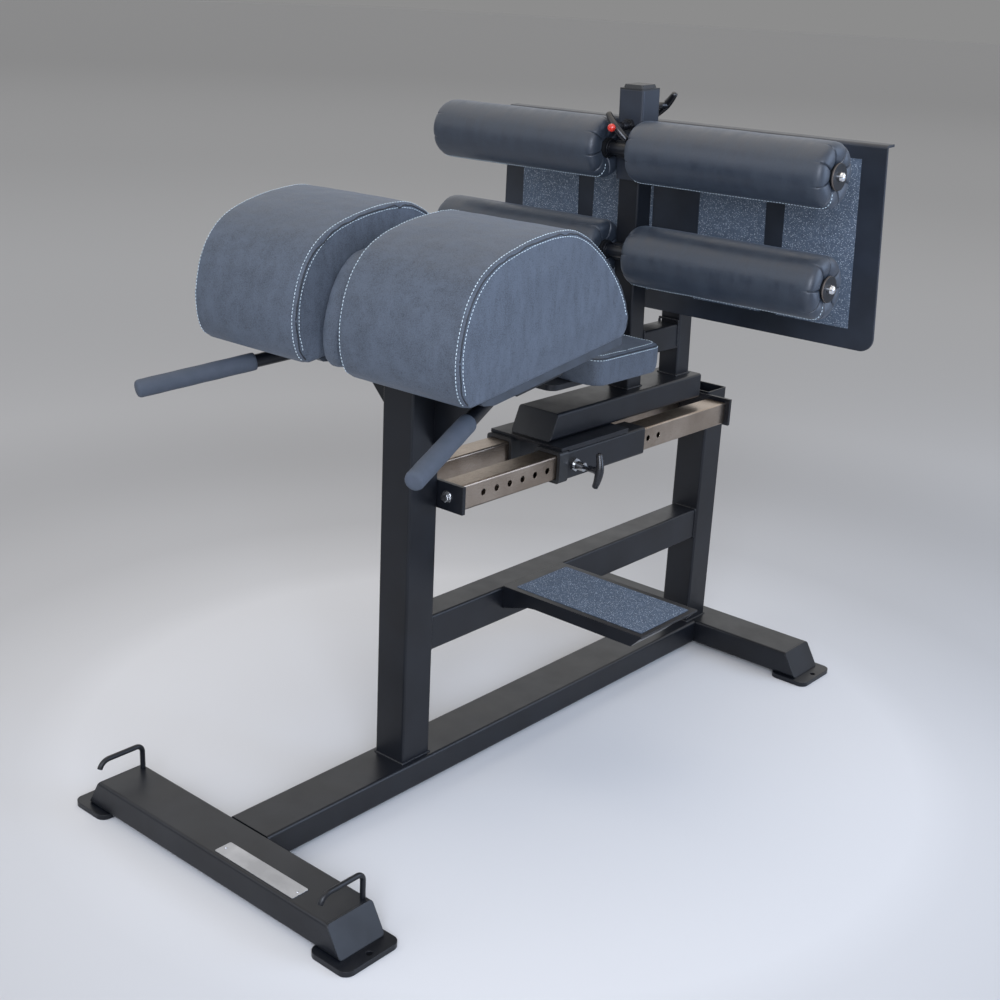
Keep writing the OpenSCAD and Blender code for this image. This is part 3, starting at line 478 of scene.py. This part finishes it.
# pressure from within swells the cover between its held seams, up to a cap
def swell(piece, holds, s):
    start = [v.co.copy() for v in piece.data.vertices]
    held = piece.vertex_groups.new(name="held")
    for index, weight in holds.items():
        held.add([index], weight, "REPLACE")
    cloth = addModifier(piece, "CLOTH")
    settings = {"use_pressure": True, "uniform_pressure_force": s["pressure"], "quality": 4, "mass": 0.3,
                "vertex_group_mass": "held", "tension_stiffness": 15, "compression_stiffness": 15,
                "shear_stiffness": 5, "bending_stiffness": 0.5}
    for key, value in settings.items():
        setattr(cloth.settings, key, value)
    cloth.settings.effector_weights.gravity = 0
    cloth.point_cache.frame_end = s["steps"]
    for step in range(1, s["steps"] + 1):
        scene.frame_set(step)
    applyAll(piece)
    scene.frame_set(1)
    cap = s["cap"] / 1000
    for vertex, before in zip(piece.data.vertices, start):
        move = vertex.co - before
        if move.length > cap:
            vertex.co = before + move * (cap / move.length)


# the underside is stapled down and the seams are held, and the rest of the cover swells and creases
def makeCushion(piece, body, source, s):
    gridded(piece, s)
    inside = s["frame"].inverted()
    turn = inside.to_3x3()
    stapled, rest = s["stapled"] / 1000, s["rest"] / 1000
    holds = {}
    for vertex in piece.data.vertices:
        local = inside @ vertex.co
        facing = turn @ vertex.normal
        if local.z < stapled or facing.z < -0.85:
            holds[vertex.index] = 1.0
        elif s["seam"](local * 1000, facing):
            holds[vertex.index] = 0.95
    swell(piece, holds, s)
    normals = [v.normal.copy() for v in piece.data.vertices]
    for vertex, normal in zip(piece.data.vertices, normals):
        p = (inside @ vertex.co) * 1000
        if vertex.index not in holds:
            pull = noise.fractal(Vector((p.x * 0.009, p.y * 0.014, p.z * 0.014)), 1.0, 2.0, 4)
            vertex.co += normal * pull * s["crease"] / 1000
        local = inside @ vertex.co
        if local.z < rest or (holds.get(vertex.index) == 1.0 and local.z < stapled):
            local.z = rest
            vertex.co = s["frame"] @ local
    addModifier(piece, "SUBSURF", levels=1, render_levels=1)
    applyAll(piece)
    finishPiece(piece, body, source)
    return piece


cushionStyle = {
    "shrink": 3.0, "voxel": 5.5, "soften": 3, "pressure": 5.0, "steps": 20, "cap": 6.0, "crease": 1.3,
    "stapled": 4.5, "rest": 0.4, "fill": 0.7}
padInner, padWidth = 48, 278  # from the middle plane to a pad, and the pad's width
padMiddle = (215, 90)  # along the underside and up, where the rays that find the seams start
seamAngles = (-22, 199)  # degrees, from the front of the underside over the top to the back


# where rays from the middle of a pad, in one plane across x, leave its surface
def coverLine(tree, x, angles):
    line = []
    for k in range(121):
        a = math.radians(angles[0] + (angles[1] - angles[0]) * k / 120)
        start = padTurn @ Vector((x / 1000, padMiddle[0] / 1000, padMiddle[1] / 1000))
        ray = padTurn.to_3x3() @ Vector((0, -math.cos(a), math.sin(a)))
        place, facing, _, _ = tree.ray_cast(start, ray)
        if place is not None:
            line.append((place, facing))
    return line


# the same line, smoothed and moved onto the side panel, some millimetres inside its outline
def panelLine(tree, edge, x, away, inset):
    line = []
    back = padTurn.inverted()
    points = [back @ place for place, facing in edge]
    middle = Vector((0, *padMiddle)) / 1000
    for k in range(len(points)):
        near = points[max(k - 5, 0):k + 6]
        local = sum(near, Vector()) / len(near)
        spoke = Vector((0, local.y - middle.y, local.z - middle.z))
        spoke *= 1 - inset / 1000 / spoke.length
        start = padTurn @ Vector(((x + away * 24) / 1000, middle.y + spoke.y, middle.z + spoke.z))
        place, facing, _, _ = tree.ray_cast(start, Vector((-away, 0, 0)))
        if place is not None:
            line.append((place, facing))
    return line


# how far from a pad's edge its cover is held, and where its stitches and its painted seam shade run
padSeams = {"held": 9, "coverRow": 10, "panelRow": 4.5, "shadeLine": 4.6}


def makeThighPad(name, side):
    edges = [side * padInner, side * (padInner + padWidth)]

    def seam(p, facing):
        return min(abs(p.x - edge) for edge in edges) < padSeams["held"] and abs(facing.x) < 0.93

    piece = makeCushion(copied(name + "_cushion", name), "base", name,
                        {**cushionStyle, "frame": padTurn, "seam": seam})
    tree = surfaceOf(piece)
    rows, shadeLines = [], []
    for edge, away in ((edges[0], -side), (edges[1], side)):
        rim = coverLine(tree, edge - away * 5, seamAngles)
        rows.append(coverLine(tree, edge - away * padSeams["coverRow"], seamAngles))
        rows.append(panelLine(tree, rim, edge, away, padSeams["panelRow"]))
        shadeLines.append(coverLine(tree, edge - away * padSeams["shadeLine"], seamAngles))
    sewSeams(name, rows, shadeLines, "base")


makeThighPad("thigh_pad_left", -1)
makeThighPad("thigh_pad_right", 1)
makeCushion(copied("pad_bridge_cushion", "pad_bridge"), "base", "pad_bridge",
            {**cushionStyle, "frame": padTurn, "shrink": 1.0, "cap": 3.0, "crease": 0.6, "fill": 0.6,
             "seam": lambda p, facing: abs(facing.x) > 0.2 and abs(p.x) > 16 and abs(facing.x) < 0.9})
print("thigh pads ready")

# the knee pad's own frame: its middle on its underside, and its half sizes and height in millimetres
kneeLow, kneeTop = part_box("knee_pad")
kneeTurn = Matrix.Translation(((kneeLow.x + kneeTop.x) / 2, (kneeLow.y + kneeTop.y) / 2, kneeLow.z))
kneeHalf = ((kneeTop.x - kneeLow.x) * 500, (kneeTop.y - kneeLow.y) * 500)
kneeHigh = (kneeTop.z - kneeLow.z) * 1000
kneeCorner = 26


# a rounded rectangle, its corners turned with one radius
def roundOutline(halfX, halfY, radius):
    points, steps = [], 8
    for q, (sx, sy) in enumerate(((1, 1), (-1, 1), (-1, -1), (1, -1))):
        x, y = sx * (halfX - radius), sy * (halfY - radius)
        for k in range(steps + 1):
            a = math.radians(90 * (q + k / steps))
            points.append((x + radius * math.cos(a), y + radius * math.sin(a)))
    return points


# boxed cushion: straight sides, a rounded top edge and a crowned top
def kneeForm():
    rings = []
    for inset, z in ((6, 0), (1.5, 3), (0, 9), (-0.5, 22), (-0.5, 38), (0.5, kneeHigh - 11),
                     (2, kneeHigh - 7), (5, kneeHigh - 4.5), (14, kneeHigh - 2.4), (40, kneeHigh - 0.6),
                     (80, kneeHigh)):
        corner = max(kneeCorner - inset * 0.2, 8)
        outline = roundOutline(kneeHalf[0] - inset, kneeHalf[1] - inset, corner)
        rings.append([kneeTurn @ Vector((x / 1000, y / 1000, z / 1000)) for x, y in outline])
    verts, faces = skin(rings)
    return makePiece("knee_pad_cushion", verts, faces, padVinyl)


# where rays round the knee pad meet its cover
def aroundKnee(tree, start, aim):
    line = []
    for k in range(241):
        a = 2 * math.pi * k / 240
        place, facing, _, _ = tree.ray_cast(kneeTurn @ start(a), aim(a).normalized())
        if place is not None:
            line.append((place, facing))
    return line


# a point of the pad's outline, drawn in, seen from its middle at an angle
def kneeRim(a, inset):
    halfX, halfY, corner = kneeHalf[0] - inset, kneeHalf[1] - inset, kneeCorner - inset * 0.5
    ray = Vector((math.cos(a), math.sin(a)))
    reach = min(halfX / max(abs(ray.x), 1e-6), halfY / max(abs(ray.y), 1e-6))
    p = ray * reach
    over = Vector((max(abs(p.x) - (halfX - corner), 0), max(abs(p.y) - (halfY - corner), 0)))
    if over.length > corner:
        p *= 1 - (over.length - corner) / p.length
    return p


def makeKneePad():
    def seam(p, facing):
        return p.z > kneeHigh - 15 and facing.z < 0.93 and facing.z > 0.1

    piece = makeCushion(kneeForm(), "carriage", "knee_pad", {
        **cushionStyle, "frame": kneeTurn, "seam": seam, "shrink": 1.5, "voxel": 5.0, "cap": 5.0})
    tree = surfaceOf(piece)

    def rimPoint(a, inset, z):
        p = kneeRim(a, inset)
        return Vector((p.x, p.y, z)) / 1000

    def above(a):
        return rimPoint(a, 12, kneeHigh + 30)

    def beside(a):
        return rimPoint(a, -30, kneeHigh - 13)

    def within(a):
        return rimPoint(a, 24, kneeHigh - 27)

    rows = [aroundKnee(tree, above, lambda a: Vector((0, 0, -1))),
            aroundKnee(tree, beside, lambda a: -rimPoint(a, 0, 0))]
    # a dark tube of painted shade just inside the stitched top edge
    shadeLine = aroundKnee(tree, within, lambda a: rimPoint(a, 0, 20) - rimPoint(a, 24, 0))
    sewSeams("knee_pad", rows, [shadeLine], "carriage")


makeKneePad()
print("knee pad ready")


# stuffed rollers: the cover is gathered at both ends into lobes with narrow slits between them

# millimetres from the end, radius, how far a lobe stands out, and share of the slit's depth
rollerEnd = (
    (8, 19, 0, 0.2), (5.5, 22, 0.3, 0.6), (3.2, 26, 1.0, 1), (1.2, 31, 1.8, 1), (0, 37, 2.2, 1),
    (-0.6, 43, 2.2, 1), (0.2, 48.5, 2.0, 1), (2, 53, 1.6, 1), (4.6, 56.6, 1.2, 0.9), (8, 59.2, 0.8, 0.6),
    (12, 60.8, 0.4, 0.3), (17, 61.6, 0.15, 0.1), (24, 61.9, 0, 0), (34, 62, 0, 0))
slitSteps = (-3.4, -2.2, -1.3, -0.6, 0, 0.6, 1.3, 2.2, 3.4)  # extra points beside a slit, at 45 mm


def rollerRings(length, radius):
    straight, full = rollerEnd[-1][:2]
    rings = [(e, r * radius / full, lobe, slit, 0) for e, r, lobe, slit in rollerEnd]
    count = 30
    for k in range(1, count):
        rings.append((straight + (length - 2 * straight) * k / count, radius, 0, 0, 0))
    rings += [(length - e, r * radius / full, lobe, slit, 1) for e, r, lobe, slit in reversed(rollerEnd)]
    return rings


def slitAngles(s):
    spots = [n + random.uniform(-0.14, 0.14) for n in range(s["lobes"])]
    return [2 * math.pi * spot / s["lobes"] + s["turn"] for spot in spots]


# the same angle between half a turn back and half a turn on
def wrapped(angle):
    return (angle + math.pi) % (2 * math.pi) - math.pi


def makeRoller(name, s):
    random.seed(s["seed"])
    low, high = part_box(name)
    side = 1 if low.x + high.x > 0 else -1
    centre = (low + high) / 2
    length, radius = (high.x - low.x) * 1000, (high.z - low.z) * 500
    start = Vector(((low.x if side > 0 else high.x), centre.y, centre.z))
    slits = [slitAngles(s), slitAngles(s)]
    angles = {round(2 * math.pi * i / 120, 4) for i in range(120)}
    for cut in slits[0] + slits[1]:
        angles |= {round((cut + shift / 45) % (2 * math.pi), 4) for shift in slitSteps}
    rings = []
    for e, r, lobe, slit, end in rollerRings(length, radius):
        ring = []
        for a in sorted(angles):
            gaps = sorted((wrapped(cut - a) for cut in slits[end]), key=abs)
            near = abs(gaps[0])
            width = (near + abs(next((g for g in gaps if g * gaps[0] < 0), near))) or 1
            share = near / width
            out = lobe * (1 - (1 - 2 * min(share, 0.5)) ** 2) - lobe * 0.6
            cut = s["slit"] * slit * math.exp(-(near * r / s["slitWidth"]) ** 2)
            spot = Vector((e * 0.012, math.cos(a) * 1.6, math.sin(a) * 1.6 + s["seed"]))
            wrinkle = noise.fractal(spot, 1.0, 2.0, 4) * s["crease"] * (0.4 if r < radius * 0.8 else 1)
            seam = math.exp(-(wrapped(a - s["seam"]) * r / s["seamWidth"]) ** 2)
            push = out - cut + wrinkle - seam * s["seamDepth"]
            tilt = min(max((r / radius - 0.66) / 0.3, 0), 1)
            away = (r + push * tilt) / 1000
            inward = -1 if end == 0 and e < length / 2 else 1
            along = (e + inward * push * (1 - tilt)) / 1000
            ring.append(start + Vector((side * along, math.cos(a) * away, math.sin(a) * away)))
        rings.append(ring)
    verts, faces = skin(rings, closed=False)
    piece = makePiece(name + "_cover", verts, faces, rollerVinyl)
    finishPiece(piece, s["body"], name)
    tree = surfaceOf(piece)

    # along the roller, beside its seam
    def seamRow(shift):
        line = []
        for k in range(141):
            e = 8 + (length - 16) * k / 140
            a = s["seam"] + shift / radius
            ray = Vector((0, math.cos(a), math.sin(a)))
            origin = start + Vector((side * e / 1000, 0, 0)) + ray * 0.09
            place, facing, _, _ = tree.ray_cast(origin, -ray)
            if place is not None:
                line.append((place, (facing if facing.dot(ray) > 0 else -facing)))
        return line

    # down an end face, from a wide radius to a narrow one
    def endLine(outer, a, wide, narrow):
        line = []
        base = start + Vector((side * (length if outer else 0) / 1000, 0, 0))
        aim = side if outer else -side
        for k in range(31):
            r = (wide + (narrow - wide) * k / 30) * radius / 62000
            origin = base + Vector((aim * 0.03, math.cos(a) * r, math.sin(a) * r))
            place, facing, _, _ = tree.ray_cast(origin, Vector((-aim, 0, 0)))
            if place is not None:
                line.append((place, (facing if facing.x * aim > 0 else -facing)))
        return line

    row = s["seam"] + s["stitchAside"] / radius
    rows = [seamRow(s["stitchAside"]), endLine(True, row, 60, 27), endLine(False, row, 60, 27)]
    # dark tubes down the slits of the gathered ends: painted shade
    slitShades = [endLine(end == 1, cut, 58.5, 24) for end in (0, 1) for cut in slits[end]]
    sewSeams(name, rows, slitShades, s["body"])


rollerStyle = {
    "lobes": 8, "slit": 4.0, "slitWidth": 1.5, "crease": 0.45, "seam": math.radians(-112),
    "seamWidth": 1.5, "seamDepth": 0.9, "stitchAside": 2.6}
rollerNames = ("upper_roller_left", "upper_roller_right", "lower_roller_left", "lower_roller_right")
for place, name in enumerate(rollerNames):
    level, _, hand = name.split("_")
    makeRoller(name, {**rollerStyle, "body": level + "_" + hand + "_roller", "seed": place + 3,
                      "turn": 0.2 + 0.17 * place})
print("rollers ready")


# plain steel discs over the washers that hold the rollers on their axles
def makeWasherDiscs(level, body):
    low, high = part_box(level + "_roller_right")
    middle = (low + high) / 2
    profile = (
        (0.5, 6), (0.5, 24.4), (0.5, 25.2), (3.7, 25.2), (4.2, 24.9), (4.3, 24.3), (4.3, 22), (4.3, 6))
    parts = []
    for side in (-1, 1):
        origin = Vector((side * high.x, middle.y, middle.z))
        parts.append(lathe(origin, (side, 0, 0), [(a / 1000, r / 1000) for a, r in profile]))
    finishPiece(joined(level + "_washer_discs", parts, washerSteel), body)


makeWasherDiscs("upper", "roller_slider")
makeWasherDiscs("lower", "carriage")


# foam hand grips with rounded ends
def makeHandGrips(s):
    parts = []
    drop, splay = math.radians(s["drop"]), math.radians(s["splay"])
    flat = math.cos(drop)
    for side in (-1, 1):
        out = Vector((side * flat * math.sin(splay), -flat * math.cos(splay), -math.sin(drop)))
        x, y, z = s["root"]
        profile = [(62, 12.7), (62, 15.2), (63, 16.1), (65, 16.6)]
        for k in range(1, 24):
            along = 65 + (279 - 65) * k / 24
            profile.append((along, s["radius"] + s["wave"] * math.sin(along * 0.11 + side)))
        profile += [(279, 16.5), (282.5, 15.6), (285, 13.6), (286.3, 10.5), (286.8, 6), (286.9, 0.3)]
        parts.append(lathe(at(side * x, y, z), out, [(a / 1000, r / 1000) for a, r in profile], 40))
    finishPiece(joined("hand_grip_foam", parts, foamGrip), "base", "hand_grips")


makeHandGrips({"root": (243, 403, 838), "drop": 9, "splay": 20.8, "radius": 16.6, "wave": 0.18})


# T handle on a spring pin: a stem and a bar whose ends bend back towards the housing
def makePullHandle(name, source, body, s):
    out, bar = Vector(s["out"]).normalized(), Vector(s["bar"]).normalized()
    head = s["head"]
    stem = [(-s["reach"], 4.45), (-26, 4.45), (-25, 6.6), (-14, 6.6), (-9, 7.6), (-3, 8.6), (0, 8.6)]
    parts = [lathe(head, out, [(a / 1000, r / 1000) for a, r in stem], 32)]
    path, radii = [], []
    for k in range(25):
        t = -1 + k / 12
        bend = s["bend"] * t * t
        path.append(head + bar * t * s["half"] / 1000 - out * bend / 1000)
        over = max(abs(t) - 0.9, 0)  # the last tenth of the bar is rounded off
        ball = math.sqrt(max(1 - over ** 2 / 0.0101, 0.0))
        radii.append((s["thick"] - s["thin"] * abs(t) ** 1.3) * ball / 1000 + 0.0001)
    parts.append(sweep(path, radii, 24, out))
    finishPiece(joined(name, parts, castBlack), body, source)


pullStyle = {"half": 37, "bend": 7.5, "thick": 8.8, "thin": 3.0}
railPinLow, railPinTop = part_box("rail_pin")
railPinMiddle = (railPinLow + railPinTop) / 2
makePullHandle("rail_pin_handle", "rail_pin", "rail_pull_pin", {
    **pullStyle, "out": (1, 0, 0), "bar": (0, 0.1, 1), "reach": 72,
    "head": Vector((railPinTop.x - 0.008, railPinMiddle.y, railPinMiddle.z))})
makePullHandle("front_pin_handle", "front_pin", "front_pull_pin", {
    **pullStyle, "out": turned((0, -1, 0)), "bar": turned((1, 0, -1)), "reach": 48,
    "head": leaning(0, 1127 - 46, 1252)})
makePullHandle("rear_pin_handle", "rear_pin", "rear_pull_pin", {
    **pullStyle, "out": turned((0, 1, 0)), "bar": turned((1, 0, 1)), "reach": 70,
    "head": leaning(0, 1187 + 66, 1284)})
print("grips and pull handles ready")


# six-sided head on a washer
def hexBolt(origin, axis, s):
    axis = Vector(axis).normalized()
    side = axis.orthogonal().normalized()
    other = axis.cross(side)
    thick, washer = s["thick"], s["washer"]
    rings = []
    for along, scale in ((thick, 1.0), (thick + s["high"] * 0.8, 1.0), (thick + s["high"], 0.86)):
        reach = s["across"] * scale / 1732  # to a corner, in metres, from the flats' millimetres
        rings.append([Vector(origin) + axis * along / 1000
                      + (side * math.cos(a) + other * math.sin(a)) * reach
                      for a in (math.pi * i / 3 for i in range(6))])
    disc = [(0, washer * 0.2), (0, washer), (1.1, washer), (thick, washer - 0.5), (thick, washer * 0.2)]
    return [skin(rings), lathe(origin, axis, [(a / 1000, r / 1000) for a, r in disc], 32)]


# two bolts in each of the plates that carry the rails
def makeRailBolts(s):
    low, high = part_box("rail_bolts")
    level = (low.z + high.z) / 2
    parts = []
    for y, way in ((low.y + s["deep"], -1), (high.y - s["deep"], 1)):
        for x in (-s["aside"], s["aside"]):
            parts += hexBolt(Vector((x, y, level)), (0, way, 0), s)
    bolts = joined("rail_plate_bolts", parts, zinc, smooth=False)
    finishPiece(bolts, "base", "rail_bolts")


makeRailBolts({"aside": 0.06, "deep": 0.006, "across": 17, "high": 6, "washer": 12, "thick": 1.6})


# weld beads: a rippled fillet round the foot of a tube
def weldLoop(corners, radius=2.6):
    path = []
    for a, b in zip(corners, corners[1:] + corners[:1]):
        steps = max(int((b - a).length / 0.0022), 2)
        path += [a.lerp(b, k / steps) for k in range(steps)]
    path.append(path[0])
    radii = []
    for k in range(len(path)):
        radii.append((radius + 0.35 * math.sin(k * 1.5) + 0.2 * math.sin(k * 0.37)) / 1000)
    return sweep(path, radii, 8, Vector((0.3, 0.2, 1)).normalized())


# round a tube that stands on something
def levelLoop(half, y0, y1, z):
    return weldLoop([at(-half, y0, z), at(half, y0, z), at(half, y1, z), at(-half, y1, z)])


# round a tube that meets an upright face
def crossLoop(place, y, half, low, high, radius=2.6):
    corners = ((-half, low), (half, low), (half, high), (-half, high))
    return weldLoop([place(x, y, z) for x, z in corners], radius)


def makeWelds():
    base = [levelLoop(37.5, 453, 528, 65), levelLoop(37.5, 1442, 1517, 65)]
    base += [crossLoop(at, y, 32, 282, 355) for y in (528, 1442)]
    finishPiece(joined("weld_beads_base", base, coat), "base")
    over = [levelLoop(25, 1132, 1182, 701.3), levelLoop(25, 1317.3, 1367.3, 701.3)]
    over += [crossLoop(leaning, y, 25, 765, 820) for y in (1182.6, 1311.6)]
    finishPiece(joined("weld_beads_carriage", over, coat), "carriage")
    neck = [crossLoop(leaning, 1127, 22, 1188, 1222, 2)]
    finishPiece(joined("weld_beads_slider", neck, coat), "roller_slider")


makeWelds()
print("bolts and welds ready")


# camera and stage

camera = bpy.data.objects.new("camera", bpy.data.cameras.new("camera"))
scene.collection.objects.link(camera)
scene.camera = camera
scene.view_settings.view_transform = "Standard"


def aimCamera(s):
    az, el, roll = (math.radians(s[k]) for k in ("azimuth", "elevation", "roll"))
    back = Vector((math.sin(az) * math.cos(el), -math.cos(az) * math.cos(el), math.sin(el)))
    flat = Vector((math.cos(az), math.sin(az), 0))
    rise = back.cross(flat)
    right = flat * math.cos(roll) + rise * math.sin(roll)
    up = rise * math.cos(roll) - flat * math.sin(roll)
    turn = Matrix((right, up, back)).transposed()
    camera.matrix_world = Matrix.Translation(s["place"]) @ turn.to_4x4()
    camera.data.sensor_width = 36.0
    camera.data.lens = s["focal"] * camera.data.sensor_width / 1000  # from pixels of a 1000 pixel frame
    camera.data.clip_end = 200


aimCamera({"azimuth": 39.892, "elevation": 19.221, "roll": 2.85, "place": (1.762, -2.13464, 1.48859),
           "focal": 1448.93})


def fillRamp(ramp, stops):
    ramp.color_ramp.interpolation = "EASE"
    elements = ramp.color_ramp.elements
    elements[0].position, elements[0].color = stops[0][0], linear(stops[0][1])
    elements[1].position, elements[1].color = stops[-1][0], linear(stops[-1][1])
    for place, code in stops[1:-1]:
        elements.new(place).color = linear(code)


# 1 for what is seen straight, mirrored or through glass, and 0 for the light that falls on the object
def directRays(tree):
    path = addNode(tree, "ShaderNodeLightPath").outputs
    either = {"operation": "ADD", "use_clamp": True}
    links = {0: path["Is Glossy Ray"], 1: path["Is Transmission Ray"]}
    mirrored = addNode(tree, "ShaderNodeMath", either, links).outputs[0]
    links = {0: path["Is Camera Ray"], 1: mirrored}
    return addNode(tree, "ShaderNodeMath", either, links).outputs[0]


# pale studio floor under a plain grey sky; its colour is a painted pool of light, brightest round the
# object and greyer far away
def makeStage(s):
    size, drop = s["size"], s["drop"]
    corners = [(-size, -size, drop), (size, -size, drop), (size, size, drop), (-size, size, drop)]
    floor = makePiece("floor", corners, [(0, 1, 2, 3)], None)
    made, tree, shader, coords = startMaterial("studio_floor_painted_light_pool")
    length = addNode(tree, "ShaderNodeVectorMath", {"operation": "LENGTH"}, {0: coords}).outputs["Value"]
    ramp = addNode(tree, "ShaderNodeValToRGB", {}, {0: ranged(tree, length, 0, s["reach"], 0, 1)})
    fillRamp(ramp, s["stops"])
    tree.links.new(ramp.outputs[0], shader.inputs["Base Color"])
    shader.inputs["Roughness"].default_value = 0.9
    shader.inputs["Specular IOR Level"].default_value = 0.1
    floor.data.materials.clear()
    floor.data.materials.append(made)

    world = bpy.data.worlds.new("studio")
    scene.world = world
    world.use_nodes = True
    tree = world.node_tree
    tree.nodes.clear()
    coords = addNode(tree, "ShaderNodeTexCoord").outputs["Generated"]
    height = addNode(tree, "ShaderNodeSeparateXYZ", {}, {0: coords}).outputs[2]
    dome = addNode(tree, "ShaderNodeValToRGB", {}, {0: ranged(tree, height, -1, 1, 0, 1)})
    dome.color_ramp.elements[0].color = linear(s["low"])
    dome.color_ramp.elements[1].color = linear(s["high"])
    seen = addNode(tree, "ShaderNodeValToRGB", {}, {0: height})
    fillRamp(seen, s["horizon"])
    light = addNode(tree, "ShaderNodeBackground", {"Strength": s["strength"]}, {0: dome.outputs[0]})
    show = addNode(tree, "ShaderNodeBackground", {"Strength": 1.0}, {0: seen.outputs[0]})
    links = {0: directRays(tree), 1: light.outputs[0], 2: show.outputs[0]}
    pick = addNode(tree, "ShaderNodeMixShader", {}, links)
    addNode(tree, "ShaderNodeOutputWorld", {}, {0: pick.outputs[0]})


makeStage({
    "size": 90.0, "drop": -0.0005, "reach": 28.0, "low": "#9a9a9c", "high": "#c3c3c4", "strength": 0.92,
    "horizon": ((0.0, "#8c8c8c"), (0.03, "#8b8b8b"), (0.12, "#a8a8a8"), (0.3, "#ffffff"),
                (1.0, "#ffffff")),
    # painted pool of light on the floor: pale round the object, greyer further out
    "stops": ((0.03, "#e0e0e0"), (0.038, "#cfcfcf"), (0.048, "#c3c3c3"), (0.07, "#b9b9b9"),
              (0.1, "#c8c8c8"), (0.21, "#d3d3d3"), (0.4, "#c9c9c9"), (0.95, "#b9b9b9"))})


def softbox(name, s):
    lamp = bpy.data.lights.new(name, "AREA")
    lamp.shape = "RECTANGLE"
    lamp.size, lamp.size_y = s["size"]
    lamp.energy = s["power"]
    lamp.color = linear(s["tint"])[:3]
    made = bpy.data.objects.new(name, lamp)
    scene.collection.objects.link(made)
    made.location = s["place"]
    direction = Vector(s["aim"]) - Vector(s["place"])
    made.rotation_euler = direction.to_track_quat("-Z", "Y").to_euler()


softbox("light_above", {"size": (3.4, 3.0), "power": 24, "tint": "#fff0dc", "place": (-0.6, 0.2, 3.4),
                        "aim": (0, 0, 0.6)})
softbox("light_key", {"size": (2.4, 2.4), "power": 160, "tint": "#e3ecff", "place": (2.8, -3.2, 2.3),
                      "aim": (0, 0, 0.8)})
softbox("light_front", {"size": (2.2, 2.2), "power": 20, "tint": "#e6eeff", "place": (-1.4, -3.2, 2.0),
                        "aim": (0, 0, 0.7)})
softbox("light_right", {"size": (2.4, 2.2), "power": 62, "tint": "#c6dcff", "place": (2.9, 1.7, 1.6),
                        "aim": (0, 0, 0.8)})
print("camera, floor and lights ready")
